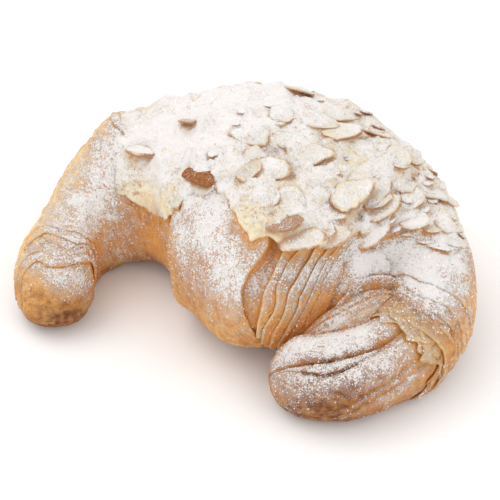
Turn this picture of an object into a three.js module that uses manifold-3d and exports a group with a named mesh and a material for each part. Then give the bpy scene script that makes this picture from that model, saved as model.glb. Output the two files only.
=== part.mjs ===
// Almond croissant: a rolled crescent of laminated dough, and the almond crust baked on its top.
// Millimetres, +Z up, resting on Z = 0, the two horns pointing to -Y.
import * as THREE from 'three';
import { mergeVertices } from 'three/addons/utils/BufferGeometryUtils.js';
import Module from 'manifold-3d';

const wasm = await Module();
wasm.setup();

const { clamp, degToRad, lerp, smoothstep } = THREE.MathUtils;

// Driving dimensions of the roll.
// Each section of the roll, from the left tip to the right tip: its middle (x, y), its half width
// towards the opening (front) and away from it (back), and its height above the tray.
const SECTIONS = [
  { x: -54, y: -54.5, front: 12.5, back: 9, height: 21 },
  { x: -56, y: -39, front: 15, back: 13, height: 27.5 },
  { x: -56, y: -23, front: 8, back: 14.5, height: 33.5 },
  { x: -53.5, y: -7, front: 16, back: 20, height: 43 },
  { x: -42.5, y: 6, front: 26, back: 23.5, height: 47.5 },
  { x: -22, y: 12, front: 41, back: 34.5, height: 56.5 },
  { x: 3, y: 14, front: 52, back: 37.5, height: 58 },
  { x: 28, y: 17, front: 41, back: 30, height: 52.5 },
  { x: 48, y: 14, front: 19, back: 19.5, height: 44 },
  { x: 57, y: 2, front: 13, back: 15, height: 36.5 },
  { x: 56, y: -14, front: 12.5, back: 13.5, height: 31.5 },
  { x: 45, y: -30, front: 12.5, back: 13.5, height: 28.5 },
  { x: 25, y: -41, front: 12.5, back: 12, height: 25 },
];
const LAST = SECTIONS.length - 1;
const WIDEST_AT = 0.46; // share of the height at which a section is widest
const UNDERSIDE = 1.12; // how far the rounded underside would reach below the tray, as a share
const SIDE_FULLNESS = 0.95; // 1 is an ellipse, less is fuller
const UNDER_FULLNESS = 0.85;
const SECTION_PITCH = 14; // least distance between two sections
const HEADING_SPAN = 1; // sections looked ahead and behind for the heading of the roll
const TRAY_DEPTH = 40; // thickness of the block that trims the underside flat
const TRAY_WIDTH = 300;
const UNEVEN = { size: 16, height: 0.7 }; // gentle swellings of the baked dough

// The wraps of dough. A wrap runs between two edges. An edge is given as the section number where it
// crosses five places round the roll (under, low front, front, top, back) and as the height of its lip
// over the plain roll. Edges with a negative lip are tucked under the neighbouring wrap.
const EDGE_ANGLES = [-90, -30, 20, 90, 180];
const EDGE_WAVE = { size: 9, sections: 0.07 }; // how unevenly an edge runs
const LIP_THICKNESS = 1.6;
const LIP_ROUND = 0.035; // sections over which a lip rounds off
const WRAPS = [
  {
    name: 'left tip',
    left: { at: [0, 0, 0, 0, 0], lip: -0.4 },
    right: { at: [2.3, 2.6, 2.4, 2, 1.8], lip: -1.6 },
    belly: 0.4,
  },
  {
    name: 'left band',
    left: { at: [0.95, 1.45, 1.32, 0.62, 0.14], lip: 0.7 },
    right: { at: [2.5, 2.8, 2.8, 2.4, 2.2], lip: -1.4 },
    belly: 0.3,
  },
  {
    name: 'left inner layer',
    left: { at: [1.4, 1.8, 1.58, 1.1, 0.68], lip: 0.6 },
    right: { at: [2.6, 2.9, 2.9, 2.5, 2.3], lip: -1.4 },
    belly: 0,
  },
  {
    name: 'left arm',
    left: { at: [1.6, 2, 1.76, 1.3, 0.9], lip: 0.9 },
    right: { at: [4.6, 4.7, 4.6, 4.4, 4.4], lip: -2.2 },
    belly: 0.6,
  },
  {
    name: 'left shoulder',
    left: { at: [3.5, 3.2, 2.62, 3.05, 3.2], lip: 1.1 },
    right: { at: [5.6, 5.5, 5.4, 5.4, 5.4], lip: -2.6 },
    belly: 0.2,
  },
  {
    name: 'centre',
    left: { at: [5.1, 4.86, 4.5, 4.7, 4.9], lip: 2.4 },
    right: { at: [6.7, 6.44, 6.25, 6.3, 6.3], lip: 2 },
    belly: 0.4,
  },
  {
    name: 'right body',
    left: { at: [5.6, 5.5, 5.5, 5.6, 5.6], lip: -2.6 },
    right: { at: [8.3, 7.5, 8.75, 9.18, 9.05], lip: 1.5 },
    belly: 0.3,
  },
  {
    name: 'right inner roll',
    left: { at: [7.5, 7, 7.6, 8.2, 8.2], lip: -1.4 },
    right: { at: [8.7, 7.9, 9.1, 9.42, 9.3], lip: 0.9 },
    belly: 0.2,
  },
  {
    name: 'right band',
    left: { at: [7.8, 7.4, 8, 8.5, 8.5], lip: -1.4 },
    right: { at: [9.9, 10.1, 10.3, 9.98, 9.7], lip: 0.9 },
    belly: 0.3,
  },
  {
    name: 'right horn',
    left: { at: [8.9, 8.9, 9, 9, 8.9], lip: -1.6 },
    right: { at: [12, 12, 12, 12, 12], lip: -0.4 },
    belly: 0.4,
    folded: true,
  },
];

// Thin laminated ridges fanning out beside the centre wrap: edge of the first ridge, the step to each
// next one, and how much lower each next one lies.
const RIDGES = {
  count: 4,
  first: [6.72, 6.4, 6.4, 6.9, 7],
  step: [0.12, 0.13, 0.17, 0.14, 0.1],
  width: 0.15,
  lip: 1,
  crown: 0.5,
  drop: 0.35,
};

// Lengthwise folds of the right horn: angle round the roll at its root and at its tip, in degrees.
const FOLDS = [
  { root: 103, tip: 112, depth: 2.6, width: 6 },
  { root: 118, tip: 134, depth: 2.2, width: 6 },
  { root: 192, tip: 196, depth: 1.8, width: 7 },
  { root: 212, tip: 212, depth: 1.4, width: 6 },
];
const FOLDS_START = 9.4;
const FOLDS_FULL = 10.4;

// Two rolls of dough fill the bend between the body and the right horn, the body's apron and the curl below it:
// their middle (x, y), half width and height, from the low end between the horns to the high end in the bend.
const BEND_ROLLS = [
  [
    { x: 14, y: -16, half: 7, height: 22 },
    { x: 24, y: -10, half: 11, height: 36 },
    { x: 29.5, y: -3.5, half: 14, height: 42 },
    { x: 37, y: 4, half: 12.5, height: 43.5 },
    { x: 49, y: 11, half: 9, height: 42 },
  ],
  [
    { x: 20, y: -33, half: 3, height: 8 },
    { x: 31, y: -24.5, half: 6.5, height: 23 },
    { x: 39, y: -17, half: 9, height: 28 },
    { x: 46.5, y: -8, half: 10, height: 33 },
    { x: 58, y: 5, half: 9, height: 35 },
  ],
];
const BEND_COLUMNS = 16;
const BEND_ROWS = 12;
const BEND_FULLNESS = 0.5; // how bluntly their two ends close

// Almond crust on the top: how it lies along the roll (sections) and round it (degrees).
const CRUST = {
  from: 2.68,
  to: 8.62,
  frontAngle: 50,
  backAngle: 146,
  leftAngle: 52,
  rightAngle: 112,
  thickness: 3.6,
  edgeThickness: 0.6, // share of the thickness kept at the front and back edges
  edgeRound: 0.2,
  endRound: 0.14,
  sunk: 3,
  gap: 0.35,
  bedded: 0.4, // most that the dough rises where the crust lies on it
  beddedOver: 10, // degrees inside the crust's edge where that holds fully
};
// Lobes of the crust's front edge: where along the roll, how wide, how many degrees lower it hangs.
const LOBES = [
  { at: 3.35, half: 0.75, hang: 27 },
  { at: 4.35, half: 0.5, hang: 16 },
  { at: 5.5, half: 0.55, hang: -6 },
  { at: 6.75, half: 0.6, hang: 7 },
  { at: 7.75, half: 0.6, hang: -9 },
  { at: 8.5, half: 0.55, hang: -30 },
];
// The crust starts later along the back of the left arm.
const LEFT_BACK = { at: 2.7, half: 0.75, short: 64 };
const LUMPS = [
  { size: 10, height: 2 },
  { size: 5, height: 1.3 },
];
const LUMPS_AT_EDGE = 0.4; // share of the lumps' height kept at the edges

// Flaked almonds: their outline, then where the plainest ones lie (section, angle round the roll),
// how they are turned, tilted and lifted, and their size.
const FLAKE = { length: 16, width: 10, thickness: 1.3, corners: 5, roundEnd: 1.3, pointEnd: 1.15, pointAt: 0.3 };
const SHOWN_FLAKES = [
  { along: 3.62, angle: 72, turn: 20, tilt: 22, lift: 0.9, size: 0.75 },
  { along: 4.55, angle: 86, turn: 60, tilt: 48, lift: 0.3, size: 0.6 },
  { along: 5.1, angle: 54, turn: 100, tilt: 62, lift: 0.4, size: 0.7 },
  { along: 5.73, angle: 69, turn: 10, tilt: 26, lift: 0.8, size: 0.8 },
  { along: 5.95, angle: 73, turn: 25, tilt: 24, lift: 1, size: 0.95 },
  { along: 6.54, angle: 46, turn: 8, tilt: 18, lift: 0.9, size: 1.05 },
  { along: 6.39, angle: 52, turn: 30, tilt: 44, lift: 0.7, size: 0.85 },
  { along: 6.28, angle: 84, turn: 70, tilt: 8, lift: 0.9, size: 1 },
  { along: 6.48, angle: 102, turn: 20, tilt: 14, lift: 0.9, size: 0.9 },
  { along: 7.06, angle: 74, turn: 50, tilt: 12, lift: 1.2, size: 1 },
  { along: 7.27, angle: 82, turn: 80, tilt: 16, lift: 1.4, size: 0.95 },
  { along: 7.52, angle: 76, turn: 15, tilt: 28, lift: 0.8, size: 0.8 },
  { along: 7.12, angle: 53, turn: 60, tilt: 30, lift: 0.5, size: 0.75 },
  { along: 7.62, angle: 60, turn: 45, tilt: 20, lift: 0.8, size: 0.85 },
];
// More flakes, strewn by a seeded rule between these limits.
const STREWN = {
  count: 22,
  seed: 11,
  from: 3.3,
  to: 8.2,
  frontShare: 0.12,
  backShare: 0.86,
  leastTilt: -8,
  mostTilt: 18,
  lift: 0.7,
  smallest: 0.5,
  largest: 0.85,
};
const GOLDEN = 0.618; // spreads neighbouring flakes across the crust

// Mesh fineness.
const WRAP_COLUMNS = 40;
const FOLDED_COLUMNS = 60;
const ROWS_PER_SECTION = 4.2;
const FEWEST_ROWS = 5;
const RIM_ROWS = 2; // rows that close each end of a wrap
const CRUST_OUTER_COLUMNS = 32;
const CRUST_INNER_COLUMNS = 6;
const CRUST_ROWS = 44;
const SURFACE_TOLERANCE = 0.15;
const BED_TOLERANCE = 0.2;
const MERGE_TOLERANCE = 1e-3;

// Colours and finish.
const DOUGH_COLOUR = 0xc88c50;
const DOUGH_ROUGHNESS = 0.6;
const CRUST_COLOUR = 0xefe4cc;
const CRUST_ROUGHNESS = 0.8;

// Centre line and section sizes as smooth curves over the section number.
const spine = new THREE.CatmullRomCurve3(
  SECTIONS.map((section) => new THREE.Vector3(section.x, section.y, 0)),
  false,
  'catmullrom',
);
const sizes = new THREE.CatmullRomCurve3(
  SECTIONS.map((section) => new THREE.Vector3(section.front, section.back, section.height)),
  false,
  'catmullrom',
);

function spineAt(along) {
  return spine.getPoint(clamp(along / LAST, 0, 1));
}

function headingAt(along) {
  return spineAt(along + HEADING_SPAN).sub(spineAt(along - HEADING_SPAN)).normalize();
}

// Quarter-circle rise from 0 to 1.
function rounded(share) {
  return Math.sqrt(1 - (1 - clamp(share, 0, 1)) ** 2);
}

// Bell curve, 1 at its middle.
function bell(value, middle, half) {
  return Math.exp(-(((value - middle) / half) ** 2));
}

// Share of the full section near a tip, where the roll closes as a dome.
function domeShare(along) {
  const here = spineAt(along);
  const leftReach = here.distanceTo(spineAt(0)) / SECTIONS[0].front;
  const rightReach = here.distanceTo(spineAt(LAST)) / SECTIONS[LAST].front;
  return rounded(Math.min(leftReach, rightReach));
}

// Point on the roll: section number, angle round the roll (0 at the opening, 90 on top, 180 at the back),
// share of the section's size and height over the plain surface.
function rollPoint(along, degrees, share, proud) {
  const middle = spineAt(along);
  const heading = headingAt(along);
  const size = sizes.getPoint(clamp(along / LAST, 0, 1));
  const side = Math.cos(degToRad(degrees));
  const rise = Math.sin(degToRad(degrees));
  const full = domeShare(along) * share;
  const halfWidth = (side > 0 ? size.x : size.y) + proud;
  const out = Math.sign(side) * halfWidth * Math.abs(side) ** SIDE_FULLNESS * full;
  const widest = size.z * WIDEST_AT;
  const up = (size.z - widest + proud) * Math.abs(rise) ** SIDE_FULLNESS * full;
  const down = (widest * UNDERSIDE + proud) * Math.abs(rise) ** UNDER_FULLNESS * full;
  return new THREE.Vector3(
    middle.x + heading.y * out,
    middle.y - heading.x * out,
    rise > 0 ? widest + up : widest - down,
  );
}

// Repeatable number between 0 and 1 from a place in space.
function chance(x, y, z) {
  const wave = Math.sin(x * 127.1 + y * 311.7 + z * 74.7) * 43758.5453;
  return wave - Math.floor(wave);
}

// Smooth lumpy value between -1 and 1.
function lumpy(point, size) {
  const place = [point.x / size, point.y / size, point.z / size];
  const corner = place.map(Math.floor);
  const share = place.map((value, axis) => smoothstep(value - corner[axis], 0, 1));
  let sum = 0;
  for (let index = 0; index < 8; index += 1) {
    const step = [index & 1, (index >> 1) & 1, (index >> 2) & 1];
    const weight = step.reduce((all, one, axis) => all * (one ? share[axis] : 1 - share[axis]), 1);
    sum += weight * chance(corner[0] + step[0], corner[1] + step[1], corner[2] + step[2]);
  }
  return 2 * sum - 1;
}

// Section number where an edge crosses an angle round the roll.
function edgeAt(places, degrees) {
  const first = EDGE_ANGLES[0];
  const turned = THREE.MathUtils.euclideanModulo(degrees - first, 360) + first;
  const angles = [...EDGE_ANGLES, first + 360];
  const looped = [...places, places[0]];
  const after = Math.max(1, angles.findIndex((angle) => angle >= turned));
  const step = smoothstep(turned, angles[after - 1], angles[after]);
  const along = lerp(looped[after - 1], looped[after], step);
  const atTip = along === 0 || along === LAST;
  const wave = atTip ? 0 : EDGE_WAVE.sections * lumpy(rollPoint(along, degrees, 1, 0), EDGE_WAVE.size);
  return along + wave;
}

// Depth of the lengthwise folds of the right horn.
function foldDepth(along, degrees) {
  const toTip = clamp((along - FOLDS_START) / (LAST - FOLDS_START), 0, 1);
  let depth = 0;
  for (const fold of FOLDS) {
    depth += fold.depth * bell(degrees, lerp(fold.root, fold.tip, toTip), fold.width);
  }
  return depth * smoothstep(along, FOLDS_START, FOLDS_FULL);
}

// Front and back angle of the crust at a section, and how far it is open between its ends.
function crustEdges(along) {
  let front = CRUST.frontAngle;
  for (const lobe of LOBES) {
    front -= lobe.hang * bell(along, lobe.at, lobe.half);
  }
  const back = CRUST.backAngle - LEFT_BACK.short * bell(along, LEFT_BACK.at, LEFT_BACK.half);
  const step = clamp((along - CRUST.from) / (CRUST.to - CRUST.from), 0, 1);
  const open = rounded(Math.min(step, 1 - step) / CRUST.endRound);
  const end = step < 0.5 ? CRUST.leftAngle : CRUST.rightAngle;
  return { front: lerp(end, front, open), back: lerp(end, back, open), open };
}

// How far a place on the roll lies under the crust, from 0 outside to 1 well inside.
function crustCover(along, degrees) {
  const edges = crustEdges(along);
  const inside = Math.min(degrees - edges.front, edges.back - degrees);
  return edges.open * smoothstep(inside, 0, CRUST.beddedOver);
}

// Closed solid of three.js triangles.
function solidOf(geometry) {
  const bare = geometry.clone();
  bare.deleteAttribute('normal');
  bare.deleteAttribute('uv');
  const joined = mergeVertices(bare, MERGE_TOLERANCE);
  const mesh = new wasm.Mesh({
    numProp: 3,
    vertProperties: joined.attributes.position.array,
    triVerts: new Uint32Array(joined.index.array),
  });
  return new wasm.Manifold(mesh);
}

// A sphere whose rows and columns are laid where the given function says.
function mappedSphere(columns, rows, placeOf) {
  const geometry = new THREE.SphereGeometry(1, columns, rows);
  const position = geometry.getAttribute('position');
  for (let row = 0; row <= rows; row += 1) {
    for (let column = 0; column <= columns; column += 1) {
      const point = placeOf(row, column % columns);
      position.setXYZ(row * (columns + 1) + column, point.x, point.y, point.z);
    }
  }
  return solidOf(geometry);
}

// Height of a wrap over the plain roll, a share of the way from its left edge to its right edge.
function wrapHeight(wrap, along, degrees, share) {
  let proud = lerp(wrap.left.lip, wrap.right.lip, share);
  proud += wrap.belly * Math.sin(Math.PI * share);
  proud += UNEVEN.height * lumpy(rollPoint(along, degrees, 1, 0), UNEVEN.size);
  if (proud > 0) {
    const bedded = Math.min(proud, CRUST.bedded);
    proud = lerp(proud, bedded, crustCover(along, degrees));
  }
  return wrap.folded ? proud - foldDepth(along, degrees) : proud;
}

// One wrap of dough as a closed barrel between its two edges, swollen outwards by `extra`.
function wrapSolid(wrap, extra) {
  const columns = wrap.folded ? FOLDED_COLUMNS : WRAP_COLUMNS;
  const ends = [edgeAt(wrap.left.at, 90), edgeAt(wrap.right.at, 90)];
  const inner = Math.max(FEWEST_ROWS, Math.round((ends[1] - ends[0]) * ROWS_PER_SECTION));
  const rows = inner + 2 * RIM_ROWS;
  const margin = extra / SECTION_PITCH;
  return mappedSphere(columns, rows, (row, column) => {
    if (row === 0 || row === rows) {
      return rollPoint(ends[row === 0 ? 0 : 1], 90, 0, 0);
    }
    const degrees = (360 * column) / columns;
    const start = edgeAt(wrap.left.at, degrees) - margin;
    const end = edgeAt(wrap.right.at, degrees) + margin;
    const share = clamp((row - RIM_ROWS) / inner, 0, 1);
    let along = lerp(start, end, share);
    along += row === RIM_ROWS ? LIP_ROUND : 0;
    along -= row === rows - RIM_ROWS ? LIP_ROUND : 0;
    const onRim = row < RIM_ROWS || row > rows - RIM_ROWS;
    const proud = wrapHeight(wrap, along, degrees, share) - (onRim ? LIP_THICKNESS : 0);
    return rollPoint(along, degrees, 1, proud + extra);
  });
}

// A roll in the bend as a closed barrel, swollen outwards by `extra`.
function bendSolid(places, extra) {
  const middles = new THREE.CatmullRomCurve3(
    places.map((place) => new THREE.Vector3(place.x, place.y, 0)),
    false,
    'catmullrom',
  );
  const spans = new THREE.CatmullRomCurve3(
    places.map((place) => new THREE.Vector3(place.half + extra, place.height + extra, 0)),
    false,
    'catmullrom',
  );
  return mappedSphere(BEND_COLUMNS, BEND_ROWS, (row, column) => {
    const share = row / BEND_ROWS;
    const middle = middles.getPoint(share);
    const heading = middles.getTangent(share);
    const span = spans.getPoint(share);
    const angle = (2 * Math.PI * column) / BEND_COLUMNS;
    const full = Math.sin(Math.PI * share) ** BEND_FULLNESS;
    const out = span.x * Math.cos(angle) * full;
    const widest = span.y * WIDEST_AT;
    const reach = Math.sin(angle) > 0 ? span.y - widest : widest * UNDERSIDE;
    return new THREE.Vector3(
      middle.x + heading.y * out,
      middle.y - heading.x * out,
      widest + reach * Math.sin(angle) * full,
    );
  });
}

// The laminated ridges as narrow wraps.
function ridgeWraps() {
  return Array.from({ length: RIDGES.count }, (_, index) => {
    const left = RIDGES.first.map((along, place) => along + index * RIDGES.step[place]);
    const right = left.map((along) => along + RIDGES.width);
    const lip = RIDGES.lip - index * RIDGES.drop;
    return { name: `ridge ${index + 1}`, left: { at: left, lip }, right: { at: right, lip }, belly: RIDGES.crown };
  });
}

// The whole roll, trimmed flat where it lies on the tray.
function roll(extra) {
  const wraps = [...WRAPS, ...ridgeWraps()].map((wrap) => wrapSolid(wrap, extra));
  const rolls = BEND_ROLLS.map((places) => bendSolid(places, extra));
  const joined = [...wraps, ...rolls].reduce((whole, piece) => whole.add(piece));
  const tray = new THREE.BoxGeometry(TRAY_WIDTH, TRAY_WIDTH, TRAY_DEPTH);
  tray.translate(0, 0, -TRAY_DEPTH / 2);
  return joined.subtract(solidOf(tray));
}

// Height of the crust's outer face over the plain roll.
function crustHeight(along, degrees, across) {
  const point = rollPoint(along, degrees, 1, 0);
  const dome = rounded(Math.min(across, 1 - across) / CRUST.edgeRound);
  let height = CRUST.thickness * lerp(CRUST.edgeThickness, 1, dome);
  for (const lump of LUMPS) {
    height += lump.height * lumpy(point, lump.size) * lerp(LUMPS_AT_EDGE, 1, dome);
  }
  return height;
}

// The crust as a flattened barrel: outer face from front to back, inner face sunk in the dough.
function crustBlanket() {
  const columns = CRUST_OUTER_COLUMNS + CRUST_INNER_COLUMNS;
  return mappedSphere(columns, CRUST_ROWS, (row, column) => {
    const share = 0.5 - 0.5 * Math.cos((Math.PI * row) / CRUST_ROWS);
    const along = lerp(CRUST.from, CRUST.to, share);
    const edges = crustEdges(along);
    const outside = column <= CRUST_OUTER_COLUMNS;
    const inner = (column - CRUST_OUTER_COLUMNS) / CRUST_INNER_COLUMNS;
    const across = outside ? column / CRUST_OUTER_COLUMNS : 1 - inner;
    const degrees = lerp(edges.front, edges.back, across);
    const proud = outside && edges.open > 0 ? crustHeight(along, degrees, across) : -CRUST.sunk;
    return rollPoint(along, degrees, 1, proud);
  });
}

// Outline of a flaked almond: round at one end, pointed at the other.
function flakeOutline() {
  const outline = new THREE.Shape();
  const long = FLAKE.length / 2;
  const blunt = (FLAKE.width / 2) * FLAKE.roundEnd;
  const slim = (FLAKE.width / 2) * FLAKE.pointEnd;
  const turn = long * FLAKE.pointAt;
  outline.moveTo(-long, 0);
  outline.bezierCurveTo(-long, blunt, turn, slim, long, 0);
  outline.bezierCurveTo(turn, -slim, -long, -blunt, -long, 0);
  return outline;
}

// A flake laid on the crust, turned about the surface and tilted out of it.
function flakeSolid(flake) {
  const geometry = new THREE.ExtrudeGeometry(flakeOutline(), {
    depth: FLAKE.thickness,
    bevelEnabled: false,
    curveSegments: FLAKE.corners,
  });
  geometry.translate(0, 0, -FLAKE.thickness / 2);
  geometry.scale(flake.size, flake.size, 1);
  const edges = crustEdges(flake.along);
  const across = clamp((flake.angle - edges.front) / (edges.back - edges.front), 0, 1);
  const proud = crustHeight(flake.along, flake.angle, across) + flake.lift;
  const place = rollPoint(flake.along, flake.angle, 1, proud);
  const outward = place.clone().sub(rollPoint(flake.along, flake.angle, 1, 0)).normalize();
  const upright = new THREE.Quaternion().setFromUnitVectors(new THREE.Vector3(0, 0, 1), outward);
  const spin = new THREE.Quaternion().setFromAxisAngle(new THREE.Vector3(0, 0, 1), degToRad(flake.turn));
  const lean = new THREE.Quaternion().setFromAxisAngle(new THREE.Vector3(1, 0, 0), degToRad(flake.tilt));
  geometry.applyQuaternion(upright.multiply(spin).multiply(lean));
  geometry.translate(place.x, place.y, place.z);
  return solidOf(geometry);
}

// Flakes strewn over the crust by the seeded rule.
function strewnFlakes() {
  const draw = (index, kind) => chance(index, kind, STREWN.seed);
  return Array.from({ length: STREWN.count }, (_, index) => {
    const along = lerp(STREWN.from, STREWN.to, (index + draw(index, 1)) / STREWN.count);
    const edges = crustEdges(along);
    const across = lerp(STREWN.frontShare, STREWN.backShare, (index * GOLDEN) % 1);
    return {
      along,
      angle: lerp(edges.front, edges.back, across),
      turn: 360 * draw(index, 2),
      tilt: lerp(STREWN.leastTilt, STREWN.mostTilt, draw(index, 3)),
      lift: STREWN.lift * draw(index, 4),
      size: lerp(STREWN.smallest, STREWN.largest, draw(index, 5)),
    };
  });
}

// Largest single body of a solid, without triangles finer than the surface tolerance.
function finished(solid) {
  const plain = solid.asOriginal().simplify(SURFACE_TOLERANCE);
  return plain.decompose().reduce((best, body) => (body.volume() > best.volume() ? body : best));
}

function almondCrust() {
  const flakes = [...SHOWN_FLAKES, ...strewnFlakes()].map(flakeSolid);
  const strewn = flakes.reduce((whole, flake) => whole.add(flake), crustBlanket());
  const bed = roll(CRUST.gap).asOriginal().simplify(BED_TOLERANCE);
  return finished(strewn.subtract(bed));
}

// A named mesh from a solid.
function meshOf(solid, name, color, roughness) {
  const result = solid.getMesh();
  const geometry = new THREE.BufferGeometry();
  geometry.setAttribute('position', new THREE.BufferAttribute(result.vertProperties, 3));
  geometry.setIndex(new THREE.BufferAttribute(result.triVerts, 1));
  geometry.computeVertexNormals();
  const material = new THREE.MeshStandardMaterial({ color, roughness, metalness: 0 });
  const mesh = new THREE.Mesh(geometry, material);
  mesh.name = name;
  return mesh;
}

const almondCroissant = new THREE.Group();
almondCroissant.name = 'almond_croissant';
almondCroissant.add(meshOf(finished(roll(0)), 'croissant', DOUGH_COLOUR, DOUGH_ROUGHNESS));
almondCroissant.add(meshOf(almondCrust(), 'almond_crust', CRUST_COLOUR, CRUST_ROUGHNESS));

export default almondCroissant;
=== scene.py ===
import math
from collections import namedtuple

import bmesh
import bpy
import numpy as np
from mathutils import Matrix, Vector
from mathutils.kdtree import KDTree


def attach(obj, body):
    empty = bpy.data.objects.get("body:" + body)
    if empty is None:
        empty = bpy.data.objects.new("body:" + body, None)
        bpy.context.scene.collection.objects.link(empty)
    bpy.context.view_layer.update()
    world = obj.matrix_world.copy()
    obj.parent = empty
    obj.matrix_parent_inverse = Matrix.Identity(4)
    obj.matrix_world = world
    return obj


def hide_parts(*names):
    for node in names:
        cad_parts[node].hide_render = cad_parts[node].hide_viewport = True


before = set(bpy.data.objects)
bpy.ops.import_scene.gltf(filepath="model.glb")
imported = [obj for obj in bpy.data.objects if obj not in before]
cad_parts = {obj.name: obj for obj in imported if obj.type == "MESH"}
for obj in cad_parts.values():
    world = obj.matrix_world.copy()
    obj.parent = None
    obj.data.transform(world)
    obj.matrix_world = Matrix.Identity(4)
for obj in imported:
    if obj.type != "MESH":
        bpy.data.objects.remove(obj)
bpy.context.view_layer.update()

# Almond croissant: rolled laminated dough, baked almond cream, flaked almonds and icing sugar.
# Lengths are in millimetres up to the finished meshes, which are in metres.
MM = 0.001

# Where the camera looks from: what it aims at, its turn and height round that, its distance in metres
# and its lens.
AIM = Vector((-3, -4, 22)) * MM
AZIMUTH = math.radians(30)
ELEVATION = math.radians(45)
DISTANCE = 0.72
LENS = 160.7
SENSOR_WIDTH = 36
CLIP_START = 0.01
TO_CAMERA = Vector((
    math.sin(AZIMUTH) * math.cos(ELEVATION),
    -math.cos(AZIMUTH) * math.cos(ELEVATION),
    math.sin(ELEVATION),
))
TO_RIGHT = Vector((math.cos(AZIMUTH), math.sin(AZIMUTH), 0))
TO_BACK = Vector((-math.sin(AZIMUTH), math.cos(AZIMUTH), 0))
UP = Vector((0, 0, 1))

# Floor and light, in metres. A softbox has its place to the right, back and up of the aim, its size, power
# and colour.
FLOOR_HALF = 3
SKY_STRENGTH = 0.96
SOFTBOXES = {
    "key": (-0.36, 0.1, 0.68, 0.6, 1.6, (1, 0.98, 0.96)),
    "fill": (0.45, -0.3, 0.5, 0.6, 0.6, (1, 0.99, 0.98)),
}

# Sections of the roll from the left tip to the right tip: middle x and y, half width to the opening,
# half width to the back, height.
SECTIONS = np.array([
    (-54, -54.5, 12.5, 9, 21),
    (-56, -39, 15, 13, 27.5),
    (-56, -23, 8, 14.5, 33.5),
    (-53.5, -7, 16, 20, 43),
    (-42.5, 6, 26, 23.5, 47.5),
    (-22, 12, 41, 34.5, 56.5),
    (3, 14, 52, 37.5, 58),
    (28, 17, 41, 30, 52.5),
    (48, 14, 19, 19.5, 44),
    (57, 2, 13, 15, 36.5),
    (56, -14, 12.5, 13.5, 31.5),
    (45, -30, 12.5, 13.5, 28.5),
    (25, -41, 12.5, 12, 25),
])
SPINE = SECTIONS[:, :2]
SIZES = SECTIONS[:, 2:]
LAST = len(SECTIONS) - 1
TIP_REACH = 12.5  # length over which a tip closes as a dome
WIDEST_AT = 0.46  # share of the height at which a section is widest
UNDERSIDE = 1.12  # how far the rounded underside would reach below the tray, as a share
SIDE_FULLNESS = 0.95  # 1 is an ellipse, less is fuller
UNDER_FULLNESS = 0.85
PITCH_STEP = 0.05  # part of a section over which lengths along the roll are measured
LEAST_PITCH = 6
TRAY_SIZE = (0.3, 0.3, 0.04)  # block in metres that trims the underside flat

# Relief of the dough's skin. Lumps, here and below, are rows of size in mm, height and shift in mm.
UNEVEN_SIZE = 16
UNEVEN_HEIGHT = 0.7
SKIN_LUMPS = ((5, 0.3, 0), (2.6, 0.2, 0))
WRINKLE_PITCH = 3.2
WRINKLE_HEIGHT = 0.2
WRINKLE_FADE = 0.6
WRINKLE_SHIFT = 9

# Wraps of dough. An edge is given as the section number where it crosses five places round the roll
# (under, low front, front, top, back) and as the height of its lip over the plain roll.
EDGE_ANGLES = np.array([-90, -30, 20, 90, 180, 270], dtype=float)
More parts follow.
